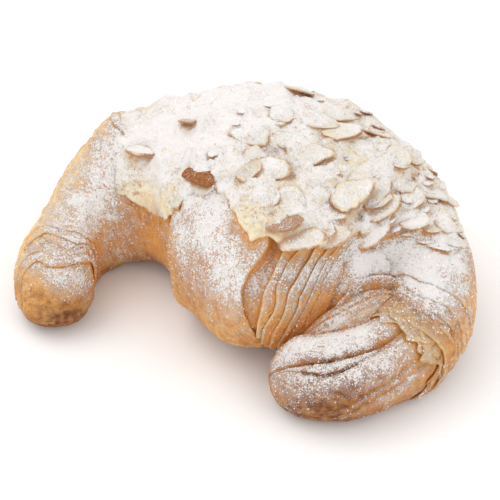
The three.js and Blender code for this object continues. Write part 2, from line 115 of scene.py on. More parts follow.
# Waves of an edge, with their height in sections. Wraps with one of these words in their name have their own.
EDGE_WAVES = ((9, 0.07, 0), (3.5, 0.018, 0))
LEFT_EDGE_WAVES = {"ridge": ((9, 0.05, 0), (3.5, 0.02, 0)), "left": ((9, 0.13, 0), (3.5, 0.05, 0))}
RIGHT_EDGE_WAVES = {"torn": ((8, 0.2, 0), (3, 0.12, 0))}
WAVE_SHIFT = 13  # between the pattern of one wrap and that of the next
Wrap = namedtuple("Wrap", "name left left_lip right right_lip belly thickness lines")
WRAPS = [
    Wrap("left tip", (0, 0, 0, 0, 0), -0.4, (2.3, 2.6, 2.4, 2, 1.8), -1.6, 0.4, 1.6, 0),
    Wrap("left band", (0.95, 1.45, 1.32, 0.62, 0.14), (0.1, 0.3, 0.8, 0.9, 0.3),
         (2.5, 2.8, 2.8, 2.4, 2.2), -1.4, 0.3, 0.8, 0.2),
    Wrap("left thin layer", (1.2, 1.6, 1.45, 0.88, 0.4), 0.9, (2.5, 2.8, 2.8, 2.4, 2.2), -1.4, 0, 0.6, 0.2),
    Wrap("left inner layer", (1.4, 1.8, 1.58, 1.1, 0.68), 1.1, (2.6, 2.9, 2.9, 2.5, 2.3), -1.4, 0, 0.7, 0.2),
    Wrap("left arm", (1.6, 2, 1.76, 1.3, 0.9), 1.1, (4.6, 4.7, 4.6, 4.4, 4.4), -2.2, 0.6, 0.9, 0.15),
    Wrap("left shoulder", (3.5, 3.2, 2.75, 3.4, 3.8), (-1, -1, -0.1, 0.2, 0.1),
         (5.6, 5.5, 5.4, 5.4, 5.4), -2.6, 0.2, 1.2, 0.1),
    Wrap("centre", (5.1, 4.86, 4.5, 4.7, 4.9), 2.4,
         (6.7, 6.44, 6.25, 6.3, 6.3), (1, 0.8, 1.8, 2, 2), 0.4, 1.6, 0.1),
    Wrap("right body", (5.6, 5.5, 5.5, 5.6, 5.6), -2.6,
         (8.3, 7.5, 8.75, 9.18, 9.05), (0.8, 1.5, 1.5, 1.5, 0.6), 0.3, 1.2, 0.15),
    Wrap("right inner roll", (7.5, 7, 7.6, 8.2, 8.2), -1.4, (8.7, 7.9, 9.1, 9.42, 9.3), 0.9, 0.2, 1.4, 0),
    Wrap("right fine layer", (7.7, 7.2, 7.9, 8.4, 8.4), -1.4, (9, 8.4, 9.45, 9.6, 9.42), 0.9, 0.1, 0.6, 0),
    Wrap("right finer layer", (7.8, 7.3, 8, 8.5, 8.5), -1.4, (9.3, 8.9, 9.8, 9.74, 9.52), 0.9, 0.1, 0.6, 0),
    Wrap("right band", (7.8, 7.4, 8, 8.5, 8.5), -1.4, (9.9, 10.1, 10.3, 9.98, 9.7), 1.1, 0.3, 0.8, 0),
    Wrap("torn layer", (8.3, 8.3, 8.5, 8.6, 8.6), -1.6,
         (9.98, 10.2, 10.4, 10.07, 9.77), (0.2, 1, 1.2, 1.2, 0.6), 0, 0.7, 0),
    Wrap("lower torn layer", (8.4, 8.4, 8.6, 8.7, 8.7), -1.6,
         (10.06, 10.3, 10.5, 10.17, 9.86), (0.1, 0.7, 0.9, 0.9, 0.4), 0, 0.7, 0),
    Wrap("lowest torn layer", (8.5, 8.5, 8.7, 8.8, 8.8), -1.6,
         (10.12, 10.36, 10.58, 10.25, 9.96), (0.1, 0.7, 0.85, 0.85, 0.2), 0, 0.6, 0),
    Wrap("right horn", (8.9, 8.9, 9, 9, 8.9), -1.6, (12, 12, 12, 12, 12), -0.4, 0.4, 1.6, 0),
]
LIP_SHOWN = 0.8  # a lip from this height on is pale along its edge, where the layer is thin
PALE_THINNER = 1.5
HORN = "right horn"
CENTRE = "centre"
BODY = "right body"
NO_LIP = 99.0  # distance from a lip where there is none
LIP_KEPT = 0.75  # mean share of a lip's height that is left where it is worn
LIP_KEPT_LUMPS = ((11, 0.55, 7),)
LIP_SWELL = 0.3
LIP_SWELL_LUMPS = ((6, 0.35, 0),)
LIP_SWELL_PLACE = (1.2, 1.6)  # distance from the edge and half width
LIP_SWELL_THICKNESS = (0.5, 1.4)  # layers from the first to the second thickness swell more and more
LINE_PITCH = 2.3
LINE_BEND = 3
LINE_REACH = 7
RIM_UNDER = ((2.4, 0.7), (1.1, 0.1))  # rows under an edge: distance in from it and depth below the layer
RIM_TURNS = (-60, -25, 10, 45)  # rows of its rounded side, in degrees
TIP_STEP = 0.002  # sections between the first rows at a tip
STREAK_TURN = 25  # length of the streaks' pattern for one radian round the roll
STREAK_SHIFT = 40.0  # between the pattern of one wrap and that of the next

# Grooves: where, half width, depth, and the angles over which they deepen. The notch is placed by its section
# number and the fold by its distance from the lip.
Groove = namedtuple("Groove", "at half depth start full")
NOTCH = Groove(6.33, 0.08, 2, 16, 34)
FOLD = Groove(4.5, 1.3, 1.8, 30, 42)

# Thin laminated ridges fanning out beside the centre wrap, each laid over the last: first edge, step to each
# next one and how uneven it is, width, the height of the first and last raised edges, how uneven they are,
# and the height of their tucked-in sides.
RIDGE_COUNT = 5
RIDGE_FIRST = np.array([6.5, 6.3, 6.42, 6.86, 7])
RIDGE_STEP = np.array([0.07, 0.08, 0.15, 0.13, 0.1])
RIDGE_UNEVEN = 0.8
RIDGE_WIDTH = 0.34
RIDGE_LIPS = (1.3, 0.9)
RIDGE_LIPS_UNEVEN = (0.5, 1.5)
RIDGE_TUCKED = -2
RIDGE_BELLY = 0.1
RIDGE_THICKNESS = 0.9

# Rolls of dough that fill the bend between the body and the right horn, the body's apron, the curl below it
# and the lip between the two: middle x and y, half width, height.
BEND_ROLLS = {
    "apron": np.array([
        (14, -16, 7, 22),
        (24, -10, 11, 36),
        (29.5, -3.5, 14, 42),
        (38.5, 4, 12.5, 43.5),
        (55, 12, 10, 42),
    ]),
    "curl": np.array([
        (20, -33, 3, 8),
        (31, -24.5, 6.5, 23),
        (39, -17, 9, 28),
        (46.5, -8, 10, 33),
        (58, 5, 9, 35),
    ]),
    "lip": np.array([
        (30, -29, 1.2, 19),
        (33.2, -22, 1.8, 26),
        (36, -14.5, 2, 30),
        (39.5, -8.5, 2, 33.5),
        (43.5, -3.5, 2, 35.2),
        (49, -0.5, 2, 36.5),
        (56, -1.5, 1.5, 36),
    ]),
}
BEND_COLUMNS = 72
BEND_ROWS = 60
BEND_FULLNESS = 0.5
BEND_HEADING_STEP = 0.2
BEND_LUMPS = ((5, 0.25, 0),)
BEND_RIDGES = {"apron": 0, "curl": 1, "lip": 0}  # height of the fine ridges along a roll
BEND_RIDGES_ACROSS = 3.4  # how many lie across half of it
BEND_RIDGE_SHARPNESS = 0.7
BEND_LIP = (2.4, 2.2)  # distance from a lip in the hollows, and how much nearer a ridge 1 mm high is
BEND_STREAK = (2, 8, -40)

# Lengthwise creases of the right horn: section numbers, the angle round the roll at each, depth, width.
Crease = namedtuple("Crease", "along angle depth width")
HORN_CREASES = [
    Crease((9.4, 10.3, 11.1, 11.8, 12), (100, 106, 109, 113, 113), 3.6, 6),
    Crease((9.4, 10.5, 11.3, 11.8, 12), (108, 113, 134, 122, 120), 2.2, 5),
    Crease((9.4, 10.2, 10.9, 11.3, 12), (150, 154, 172, 194, 206), 1.5, 4),
    Crease((9.4, 10.2, 10.9, 11.3, 12), (162, 168, 186, 208, 218), 1.2, 4),
]
CREASE_START = 9.6
CREASE_FULL = 10.5
HORN_ROLL = (82, 18, 1.0)  # raised roll along the top of the horn: angle, half width, height

# Rough flaky patches of the crust: section number, angle, half sizes and height.
FLAKY_PATCHES = [
    (3.1, 104, 0.5, 26, 1.4),
    (2.75, 112, 0.75, 34, 1.5),
    (1.9, 118, 0.6, 34, 1.2),
    (1.2, 120, 0.5, 30, 0.8),
    (10.6, 150, 0.7, 40, 0.5),
]
FLAKY_SCALES = ((4.5, 1, 0), (2.2, 0.5, 0))

# Lump at the left shoulder, in the dough and in the cream: section number, angle, half size in mm, height.
DOUGH_SHOULDER = [(3.42, 119, 8, 4.4)]
CREAM_SHOULDER = [(3.42, 119, 8, 2.6)]

# Almond cream: how it lies along the roll (sections) and round it (degrees).
CREAM_FROM = 2.68
CREAM_TO = 8.62
CREAM_FRONT = 50
CREAM_BACK = 146
CREAM_LEFT = 52
CREAM_RIGHT = 112
CREAM_THICKNESS = 3.6
CREAM_EDGE_SHARE = 0.6
CREAM_EDGE_ROUND = 0.2
CREAM_END_ROUND = 0.14
CREAM_SUNK = -3  # height of its inner face, in the dough
CREAM_POLES = -1  # height of its two ends
CREAM_LEAST = -1
BEDDED = 0.4  # most that the dough rises where the cream lies on it
BEDDED_OVER = 10
# Lobes of the front edge: where along the roll, half width, degrees that it hangs lower.
LOBES = [
    (3.35, 0.75, 27),
    (4.35, 0.5, 16),
    (5.5, 0.55, -6),
    (6.75, 0.6, 1),
    (7.75, 0.6, -9),
    (8.5, 0.55, -30),
]
LEFT_BACK_PLACE = (2.7, 0.75)  # where the back edge lies higher, and half width
LEFT_BACK = 64
RAGGED_PITCH = 20
FRONT_RAGGED = ((4.5, 3.5, 0), (1.7, 2, 0))
BACK_RAGGED = ((5, 3, 50),)
LEAST_HALF_SPREAD = 0.5
BEAD_TURNS = (-90, -50, -20, 10, 40, 70)  # columns of the beaded edges, in degrees
BEAD_LEAST = 0.1
BEAD_RADIUS = 34  # radius of the roll that the beads are laid out on

# Relief of the cream.
LUMPS = ((10, 2.0, 0), (5, 1.3, 0))
LUMPS_AT_EDGE = 0.4
TAPER_SHARE = 0.1  # thickness of the back edge at the left end, which grows thick over these sections
TAPER_ALONG = (3.6, 4.8)
FOLD_SIZE = 13
FOLD_SHIFT = 31
FOLD_HALF = 0.09
FOLD_DEPTH = 0.9
FINE_LUMPS = ((2.6, 0.5, 0),)
CRAGS = ((4.2, 0.8, 17), (2, 0.6, 5))
CHUNKS = ((7, 0.8, 0), (3.6, 0.45, 40))
CHUNK_SLOPE = 1.2
CHUNK_WEAR = 0.18
CHUNKS_ALONG = (4.8, 5.8)  # sections over which the chunks grow from this share
CHUNKS_LEFT = 0.3
CHUNKS_AT_EDGE = 0.5
THIN_ALONG = (2.7, 4.2)  # sections over which the left end grows from this share of its height
THIN_LEFT = 0.06
SUNK_ALONG = (2.7, 3.3)  # sections over which it is sunk, and how deep
SUNK_LEFT = 0.6
CRUMBLED_HEIGHT = 0.5
CRUMBLED_LUMPS = ((5.5, 1.7, 3), (2.4, 0.8, 9))
CRUMBLED_ALONG = (7.5, 8.2)  # sections over which the right end is more and more crumbled
CRUMBLED_SLANT = 300  # degrees round the roll that count as one section
CRUMBLED_SHARE = 0.85
# Swollen places of the cream: section number, angle, half size in mm, height.
SWELLS = [
    (3.2, 36, 6, 1.6),
    (4.15, 34, 6, 1.4),
    (5.95, 52, 8, 1.8),
    (6.2, 50, 6, 1.2),
    (7.1, 50, 6, 1.4),
    (5.1, 112, 9, 1.6),
]

# Flaked almonds: half length, half width and thickness, then where the plainest ones lie: section number,
# angle, turn, tilt (below 0 raises the front edge), lift, size, share of brown skin on the upper face and on
# the rim, where it also paints shade over the underside, chance that it is broken.
FLAKE_HALF_LENGTH = 8
FLAKE_HALF_WIDTH = 5
FLAKE_THICKNESS = 1.1
FLAKE_EDGE = ((3, 0.07), (5, 0.04), (8, 0.025))  # waves round the edge and their reach, as a share
FLAKE_SUNK = 0.5  # how deep a flake is pressed into the cream
FLAKE_POINTED = 0.25
FLAKE_FLATNESS = 0.35
FLAKE_THINNER = 0.3  # a flake smaller than 1 less this is thinner
FLAKE_BREAK = (0.2, 0.7)  # where a broken one ends, as a share of its half length
FLAKE_BREAK_SLANT = 0.1
FLAKE_BENDS = ((-0.02, 0.03), (-0.02, 0.02))  # least and most bend along and across
FLAKE_SKIN_AND_SHADE = (-0.66, -0.2)  # negative heights on the plain ball between which the flake turns brown: skin at the rim, and painted shade over the underside below it
FLAKE_MESH = (22, 10)
BIT_MESH = (14, 8)
Flake = namedtuple("Flake", "along angle turn tilt lift size skin rim broken")
SHOWN_FLAKES = [
    Flake(3.62, 72, -8, -36, 1.6, 0.75, 0, 1, 0),
    Flake(4.55, 86, 40, -36, 0.3, 0.6, 0.6, 1, 0),
    Flake(5.08, 58, -50, -40, 1.2, 0.85, 1, 1, 0),
    Flake(5.73, 69, 45, -12, 0.6, 0.6, 0.3, 1, 0),
    Flake(5.95, 73, 0, 6, 0, 0.9, 0, 1, 0),
    Flake(6.74, 49, 4, -36, 2.2, 1, 0, 1, 0),
    Flake(6.46, 54, 12, -34, 0.8, 0.75, 0.8, 1, 0),
    Flake(6.28, 84, 0, 2, 0.1, 1, 0, 1, 0),
    Flake(6.48, 102, 20, 4, 0.2, 0.9, 0, 1, 0),
    Flake(7.06, 74, 30, -2, 0.5, 1, 0, 1, 0),
    Flake(7.27, 82, 60, -4, 0.7, 0.95, 0, 1, 0),
    Flake(7.52, 76, 30, 8, 0.3, 0.8, 0, 1, 0),
    Flake(7.12, 53, 10, 10, 0.2, 0.75, 0, 1, 0),
    Flake(7.62, 60, 35, 6, 0.3, 0.85, 0, 1, 0),
]
STREWN_COUNT = 36
STREWN_SEED = 11
STREWN_ALONG = (5.3, 8.3)
STREWN_ACROSS = (0.12, 0.86)
STREWN_TILT = (-5, 14)
STREWN_LIFT = (-1.1, 0)
STREWN_SIZE = (0.55, 1)
STREWN_RIM_AND_SHADE = 0.45
STREWN_BROKEN = 0.4
STREWN_SUNK = 3.5  # flakes at the left lie deeper, less so over these sections
STREWN_SUNK_ALONG = (4.4, 5.4)
BIT_COUNT = 120
BIT_ALONG = (5, 8.5)
BIT_ACROSS = (0.02, 0.95)
BIT_TILT = (-25, 20)
BIT_LIFT = (-0.6, 0)
BIT_SIZE = (0.2, 0.55)
BIT_RIM_AND_SHADE = 0.8
BIT_BROKEN = 0.9
DRAW_SEED = 5
GOLDEN = 0.618  # spreads neighbouring flakes across the cream

# Mesh fineness.
COLUMNS = 176
ROW_STEP = 1.25
LEAST_ROWS = 6
MERGE_DISTANCE = 1e-7
COLUMN_CROWDING = 0.5  # how much closer the columns lie on the top than underneath
CREAM_ROWS = 250
CREAM_COLUMNS = 150
CREAM_UNDER_COLUMNS = 8


# Curves and noise over arrays of places.
def smooth_step(value, low, high):
    share = np.clip((value - low) / (high - low), 0, 1)
    return share * share * (3 - 2 * share)


def between(first, second, share):
    return first + (second - first) * share


def bell(value, middle, half):
    return np.exp(-(((value - middle) / half) ** 2))


def quarter_round(share):
    return np.sqrt(1 - (1 - np.clip(share, 0, 1)) ** 2)


def smooth_curve(table, along):
    """Smooth curve through the rows of a table, read at a row number."""
    ends = (2 * table[0] - table[1], 2 * table[-1] - table[-2])
    longer = np.vstack([ends[0], table, ends[1]])
    along = np.clip(along, 0, len(table) - 1)
    first = np.minimum(along.astype(int), len(table) - 2)
    share = (along - first)[..., None]
    before, start, end, after = (longer[first + step] for step in range(4))
    bend = 2 * before - 5 * start + 4 * end - after
    twist = 3 * start - 3 * end + after - before
    return 0.5 * (2 * start + (end - before) * share + bend * share**2 + twist * share**3)


def headings(table, along, step):
    """Directions of a curve through the rows of a table."""
    heading = smooth_curve(table, along + step) - smooth_curve(table, along - step)
    return heading / np.linalg.norm(heading, axis=-1, keepdims=True)


def closing_rows(count):
    """Shares from 0 to 1 without the two ends, closer together near them."""
    return 0.5 - 0.5 * np.cos(np.pi * np.arange(1, count) / count)


def chance(x, y, z):
    """Repeatable number between 0 and 1 from a place in space."""
    wave = np.sin(x * 127.1 + y * 311.7 + z * 74.7) * 43758.5453
    return wave - np.floor(wave)


def lumpy(points, size):
    """Smooth lumpy value between -1 and 1."""
    place = points / size
    corner = np.floor(place)
    share = smooth_step(place - corner, 0, 1)
    total = np.zeros(points.shape[:-1])
    for index in range(8):
        step = np.array([index & 1, (index >> 1) & 1, (index >> 2) & 1])
        weight = np.prod(np.where(step == 1, share, 1 - share), axis=-1)
        spot = corner + step
        total += weight * chance(spot[..., 0], spot[..., 1], spot[..., 2])
    return 2 * total - 1


def chunky(points, size):
    """Flat broken chunks, each at its own height and slope: height from -1 to 1 with worn edges."""
    place = points / size
    corner = np.floor(place)
    nearest = np.full(points.shape[:-1], 9.0)
    second = nearest.copy()
    height = np.zeros(points.shape[:-1])
    steps = np.array(np.meshgrid(*[(-1, 0, 1)] * 3)).reshape(3, -1).T
    for step in steps:
        cell = corner + step
        x, y, z = cell[..., 0], cell[..., 1], cell[..., 2]
        seed = np.stack([chance(x + 3, y, z), chance(x, y + 5, z), chance(x, y, z + 7)], axis=-1)
        slope = np.stack([chance(x, y + 9, z), chance(x + 11, y, z), chance(x, y, z + 13)], axis=-1) - 0.5
        away = place - cell - seed
        distance = np.linalg.norm(away, axis=-1)
        own = 2 * chance(x + 17, y, z) - 1 + CHUNK_SLOPE * np.sum(slope * away, axis=-1)
        closer = distance < nearest
        second = np.where(closer, nearest, np.minimum(second, distance))
        height = np.where(closer, own, height)
        nearest = np.where(closer, distance, nearest)
    return height * smooth_step(second - nearest, 0, CHUNK_WEAR)


def craggy(points, size):
    """Lumpy value from 0 to 1 with sharp hollows."""
    return np.abs(lumpy(points, size))


def lumps(points, rows, kind=lumpy):
    """Lumps of several sizes added up."""
    return sum(height * kind(points + shift, size) for size, height, shift in rows)


# The plain roll.
def dome_share(along):
    here = smooth_curve(SPINE, along)
    left = np.linalg.norm(here - SPINE[0], axis=-1)
    right = np.linalg.norm(here - SPINE[-1], axis=-1)
    return quarter_round(np.minimum(left, right) / TIP_REACH)


def roll_point(along, turn, proud=0.0, share=1.0):
    """Place on the roll: section number, angle (0 opening, 90 top), height over it, share of size."""
    values = [np.asarray(value, float) for value in (along, turn, proud, share)]
    along, turn, proud, share = np.broadcast_arrays(*values)
    middle = smooth_curve(SPINE, along)
    heading = headings(SPINE, along, 1)
    size = smooth_curve(SIZES, along)
    front, back, height = size[..., 0], size[..., 1], size[..., 2]
    side = np.cos(np.radians(turn))
    rise = np.sin(np.radians(turn))
    full = dome_share(along) * share
    half_width = np.where(side > 0, front, back) + proud
    out = np.sign(side) * half_width * np.abs(side) ** SIDE_FULLNESS * full
    widest = height * WIDEST_AT
    up = (height - widest + proud) * np.abs(rise) ** SIDE_FULLNESS * full
    down = (widest * UNDERSIDE + proud) * np.abs(rise) ** UNDER_FULLNESS * full
    x = middle[..., 0] + heading[..., 1] * out
    y = middle[..., 1] - heading[..., 0] * out
    z = np.where(rise > 0, widest + up, widest - down)
    return np.stack([x, y, z], axis=-1)


def pitch_at(along, turn):
    """Millimetres on the roll for one section number, at a place."""
    ahead = roll_point(along + PITCH_STEP, turn)
    behind = roll_point(along - PITCH_STEP, turn)
    return np.maximum(np.linalg.norm(ahead - behind, axis=-1) / (2 * PITCH_STEP), LEAST_PITCH)


# The edge of the almond cream.
def cream_edges(along):
    front = np.full(along.shape, float(CREAM_FRONT))
    for at, half, hang in LOBES:
        front -= hang * bell(along, at, half)
    back = CREAM_BACK - LEFT_BACK * bell(along, *LEFT_BACK_PLACE)
    step = np.clip((along - CREAM_FROM) / (CREAM_TO - CREAM_FROM), 0, 1)
    opened = quarter_round(np.minimum(step, 1 - step) / CREAM_END_ROUND)
    end = np.where(step < 0.5, CREAM_LEFT, CREAM_RIGHT)
    return between(end, front, opened), between(end, back, opened), opened


def cream_cover(along, turn):
    front, back, opened = cream_edges(along)
    inside = np.minimum(turn - front, back - turn)
    return opened * smooth_step(inside, 0, BEDDED_OVER)


# Wraps of dough.
def round_the_roll(places, turn):
    """Value at each angle round the roll, from its values at the five places."""
    looped = np.array([*places, places[0]], dtype=float)
    turned = np.mod(turn - EDGE_ANGLES[0], 360) + EDGE_ANGLES[0]
    after = np.clip(np.searchsorted(EDGE_ANGLES, turned), 1, len(EDGE_ANGLES) - 1)
    step = smooth_step(turned, EDGE_ANGLES[after - 1], EDGE_ANGLES[after])
    return between(looped[after - 1], looped[after], step)


def lip_at(lip, turn):
    """Height of a lip at each angle round the roll, from one number or from five places."""
    return round_the_roll(np.broadcast_to(lip, len(EDGE_ANGLES) - 1), turn)


def edge_at(places, turn, waves, number):
    """Section number where an edge crosses each angle round the roll."""
    along = round_the_roll(places, turn)
    if min(places) == max(places) and places[0] in (0, LAST):
        return along
    return along + lumps(roll_point(along, turn) + WAVE_SHIFT * number, waves)


def waves_of(wrap, own_waves):
    """Waves of a wrap's edge: its own, if a word of its name has some."""
    return next((waves for word, waves in own_waves.items() if word in wrap.name), EDGE_WAVES)


def horn_relief(along, turn):
    """Rolls and creases that run lengthwise on the right horn."""
    relief = HORN_ROLL[2] * bell(turn, HORN_ROLL[0], HORN_ROLL[1])
    for crease in HORN_CREASES:
        middle = np.interp(along, crease.along, crease.angle)
        relief = relief - crease.depth * np.exp(-np.abs(turn - middle) / crease.width)
    return relief * smooth_step(along, CREASE_START, CREASE_FULL)


def flaky_relief(points, along, turn):
    """Small torn scales of the crust."""
    relief = np.zeros(along.shape)
    scales = lumps(points, FLAKY_SCALES, craggy)
    for at, angle, half, half_angle, height in FLAKY_PATCHES:
        relief = relief + height * scales * bell(along, at, half) * bell(turn, angle, half_angle)
    return relief


def groove_depth(groove, place, turn):
    return groove.depth * bell(place, groove.at, groove.half) * smooth_step(turn, groove.start, groove.full)


def rim_profile(thickness):
    """Rows of an edge from its underside to its top: distance in from the edge and height, in mm."""
    half = thickness / 2
    rows = [(inward, -thickness - below) for inward, below in RIM_UNDER]
    for degrees in RIM_TURNS:
        angle = math.radians(degrees)
        rows.append((half - half * math.cos(angle), half * math.sin(angle) - half))
    rows.append((half, 0.0))
    return rows


def wrap_height(wrap, along, turn, share, from_left, from_right):
    """Height of a wrap over the plain roll."""
    points = roll_point(along, turn)
    uneven = lumpy(points, UNEVEN_SIZE)
    kept = LIP_KEPT + lumps(points, LIP_KEPT_LUMPS)
    lips = [lip_at(lip, turn) for lip in (wrap.left_lip, wrap.right_lip)]
    lips = [np.where(lip > 0, lip * kept, lip) for lip in lips]
    proud = between(*lips, share)
    proud = proud + wrap.belly * np.sin(np.pi * np.clip(share, 0, 1)) + UNEVEN_HEIGHT * uneven
    shift = np.full(along.shape, wrap.belly * WRINKLE_SHIFT)
    wrinkles = np.stack([from_left / WRINKLE_PITCH, np.radians(turn) * WRINKLE_PITCH, shift], axis=-1)
    proud = proud + lumps(points, SKIN_LUMPS)
    proud = proud + WRINKLE_HEIGHT * lumpy(wrinkles, 1) * (1 - WRINKLE_FADE * uneven)
    swell = LIP_SWELL + lumps(points, LIP_SWELL_LUMPS)
    swell = swell * smooth_step(wrap.thickness, *LIP_SWELL_THICKNESS)
    for lip, distance in zip(lips, (from_left, from_right)):
        lines = np.sin(LINE_PITCH * distance + LINE_BEND * uneven) * np.exp(-distance / LINE_REACH)
        raised = swell * bell(distance, *LIP_SWELL_PLACE) + wrap.lines * lines
        proud = proud + np.where(lip > 0, raised, 0)
    proud = between(proud, np.minimum(proud, BEDDED), cream_cover(along, turn))
    if wrap.name == HORN:
        proud = proud + horn_relief(along, turn)
    if wrap.name == BODY:
        proud = proud - groove_depth(NOTCH, along, turn)
    if wrap.name == CENTRE:
        proud = proud - groove_depth(FOLD, from_left, turn)
    return proud + flaky_relief(points, along, turn) + place_share(points, DOUGH_SHOULDER)


# Meshes and pieces.
def add_object(name, data):
    added = bpy.data.objects.new(name, data)
    bpy.context.scene.collection.objects.link(added)
    return added


def add_shape(name, shape):
    """Object with the mesh of a finished bmesh."""
    mesh = bpy.data.meshes.new(name)
    shape.to_mesh(mesh)
    shape.free()
    return add_object(name, mesh)


def column_turns(columns):
    """Angles of the columns round a roll, closer together on the top."""
    swing = 2 * np.pi * np.arange(columns) / columns - np.pi
    return 90 + np.degrees(swing - COLUMN_CROWDING * np.sin(swing))


def closed_ball(name, grid, first_pole, last_pole):
    """A ball of rows and columns laid on a grid of places, closed along its seam and at its two poles."""
    rows, columns = grid.shape[:2]
    first_row = np.broadcast_to(first_pole, (1, columns, 3))
    last_row = np.broadcast_to(last_pole, (1, columns, 3))
    places = np.concatenate([first_row, grid, last_row])
    places = np.concatenate([places, places[:, :1]], axis=1)
    shape = bmesh.new()
    bmesh.ops.create_grid(shape, x_segments=columns, y_segments=rows + 1, size=1)
    flat = np.array([vert.co[:2] for vert in shape.verts])
    column = np.rint((flat[:, 0] + 1) / 2 * columns).astype(int)
    row = np.rint((flat[:, 1] + 1) / 2 * (rows + 1)).astype(int)
    for vert, place in zip(shape.verts, places[row, column] * MM):
        vert.co = place
    bmesh.ops.remove_doubles(shape, verts=shape.verts, dist=MERGE_DISTANCE)
    piece = add_shape(name, shape)
    if enclosed_volume(piece.data) < 0:
        piece.data.flip_normals()
    return piece


def triangle_corners(mesh):
    mesh.calc_loop_triangles()
    corners = np.zeros(len(mesh.loop_triangles) * 3, dtype=np.int32)
    mesh.loop_triangles.foreach_get("vertices", corners)
    return corners.reshape(-1, 3)


def enclosed_volume(mesh):
    places = vertex_places(mesh)[triangle_corners(mesh)]
    return np.einsum("ij,ij->i", places[:, 0], np.cross(places[:, 1], places[:, 2])).sum() / 6


def vertex_places(mesh):
    places = np.zeros(len(mesh.vertices) * 3)
    mesh.vertices.foreach_get("co", places)
    return places.reshape(-1, 3)


def vertex_normals(mesh):
    normals = np.zeros(len(mesh.vertices) * 3)
    mesh.vertex_normals.foreach_get("vector", normals)
    return normals.reshape(-1, 3)


def lay_wrap(wrap, number):
    """One wrap as a closed barrel, with how far each vertex lies from a lip and its place for the streaks."""
    turn = column_turns(COLUMNS)
    left = edge_at(wrap.left, turn, waves_of(wrap, LEFT_EDGE_WAVES), number)
    right = edge_at(wrap.right, turn, waves_of(wrap, RIGHT_EDGE_WAVES), number)
    left_pitch = pitch_at(left, turn)
    right_pitch = pitch_at(right, turn)
    left_tip = max(wrap.left) == 0
    right_tip = min(wrap.right) == LAST
    rim = rim_profile(wrap.thickness)
    length = np.max((right - left) * 0.5 * (left_pitch + right_pitch))
    inner = max(LEAST_ROWS, int(length / ROW_STEP))
    alongs = []
    drops = []
    for place, (inward, drop) in enumerate(rim):
        alongs.append(left + (TIP_STEP * (place + 1) if left_tip else inward / left_pitch))
        drops.append(0 if left_tip else drop)
    start = alongs[-1]
    end = right - (TIP_STEP * len(rim) if right_tip else rim[-1][0] / right_pitch)
    for place in range(1, inner + 1):
        share = place / (inner + 1)
        share = share**2 if left_tip else share
        share = 1 - (1 - share) ** 2 if right_tip else share
        alongs.append(between(start, end, share))
        drops.append(0)
    for place, (inward, drop) in reversed(list(enumerate(rim))):
        alongs.append(right - (TIP_STEP * (place + 1) if right_tip else inward / right_pitch))
        drops.append(0 if right_tip else drop)
    along = np.array(alongs)
    drop = np.array(drops, dtype=float)[:, None]
    turns = np.broadcast_to(turn, along.shape)
    from_left = (along - left) * left_pitch
    from_right = (right - along) * right_pitch
    height = wrap_height(wrap, along, turns, (along - left) / (right - left), from_left, from_right)
    grid = roll_point(along, turns, height + drop)
    poles = [roll_point(edge.mean(), 90, share=0) for edge in (left, right)]
    piece = closed_ball(wrap.name.replace(" ", "_"), grid, *poles)
    thin = wrap.thickness < PALE_THINNER and "left" not in wrap.name
    lip = np.full(along.shape, NO_LIP)
    for lip_height, distance in ((wrap.left_lip, from_left), (wrap.right_lip, from_right)):
        shown = thin & (lip_at(lip_height, turns) > LIP_SHOWN)
        lip = np.where(shown, np.minimum(lip, distance), lip)
    shift = np.full(along.shape, STREAK_SHIFT * number)
    streak = np.stack([from_left, np.radians(turns) * STREAK_TURN, shift], axis=-1)
    return piece, grid.reshape(-1, 3) * MM, lip.ravel(), streak.reshape(-1, 3)


def ridge_wraps():
    """The laminated ridges as narrow wraps, each with one raised edge."""
    wraps = []
    for index in range(RIDGE_COUNT):
        name = f"ridge {index + 1}"
        left = RIDGE_FIRST + (index + RIDGE_UNEVEN * chance(index, 8, 3)) * RIDGE_STEP
        right = left + RIDGE_WIDTH
        lip = between(*RIDGE_LIPS, index / (RIDGE_COUNT - 1))
        lip = lip * between(*RIDGE_LIPS_UNEVEN, chance(index, 7, 3))
        wraps.append(Wrap(name, left, lip, right, RIDGE_TUCKED, RIDGE_BELLY, RIDGE_THICKNESS, 0))
    return wraps


def bend_roll(name):
    """A roll in the bend, with fine ridges along it."""
    table = BEND_ROLLS[name]
    share = closing_rows(BEND_ROWS)
    row = share * (len(table) - 1)
    middle_x, middle_y, half, height = smooth_curve(table, row).T[..., None]
    heading = headings(table[:, :2], row, BEND_HEADING_STEP).T[..., None]
    full = (np.sin(np.pi * share) ** BEND_FULLNESS)[:, None]
    turn = np.radians(column_turns(BEND_COLUMNS))
    waves = np.abs(np.sin(BEND_RIDGES_ACROSS * np.pi * np.cos(turn)))
    ridge = BEND_RIDGES[name] * waves**BEND_RIDGE_SHARPNESS
    out = np.cos(turn) * half * full
    widest = height * WIDEST_AT
    up = (height - widest + ridge) * np.maximum(np.sin(turn), 0) * full
    down = widest * UNDERSIDE * np.maximum(-np.sin(turn), 0) * full
    grid = np.stack([middle_x + heading[1] * out, middle_y - heading[0] * out, widest + up - down], axis=-1)
    grid = grid + lumps(grid, BEND_LUMPS)[..., None]
    poles = [np.array([*table[end, :2], table[end, 3] * WIDEST_AT]) for end in (0, -1)]
    piece = closed_ball(name, grid, *poles)
    lip = BEND_LIP[0] - BEND_LIP[1] * np.broadcast_to(ridge, up.shape)
    streak = np.stack(np.broadcast_arrays(out, row[:, None], 1.0), axis=-1) * BEND_STREAK
    return piece, grid.reshape(-1, 3) * MM, lip.ravel(), streak.reshape(-1, 3)


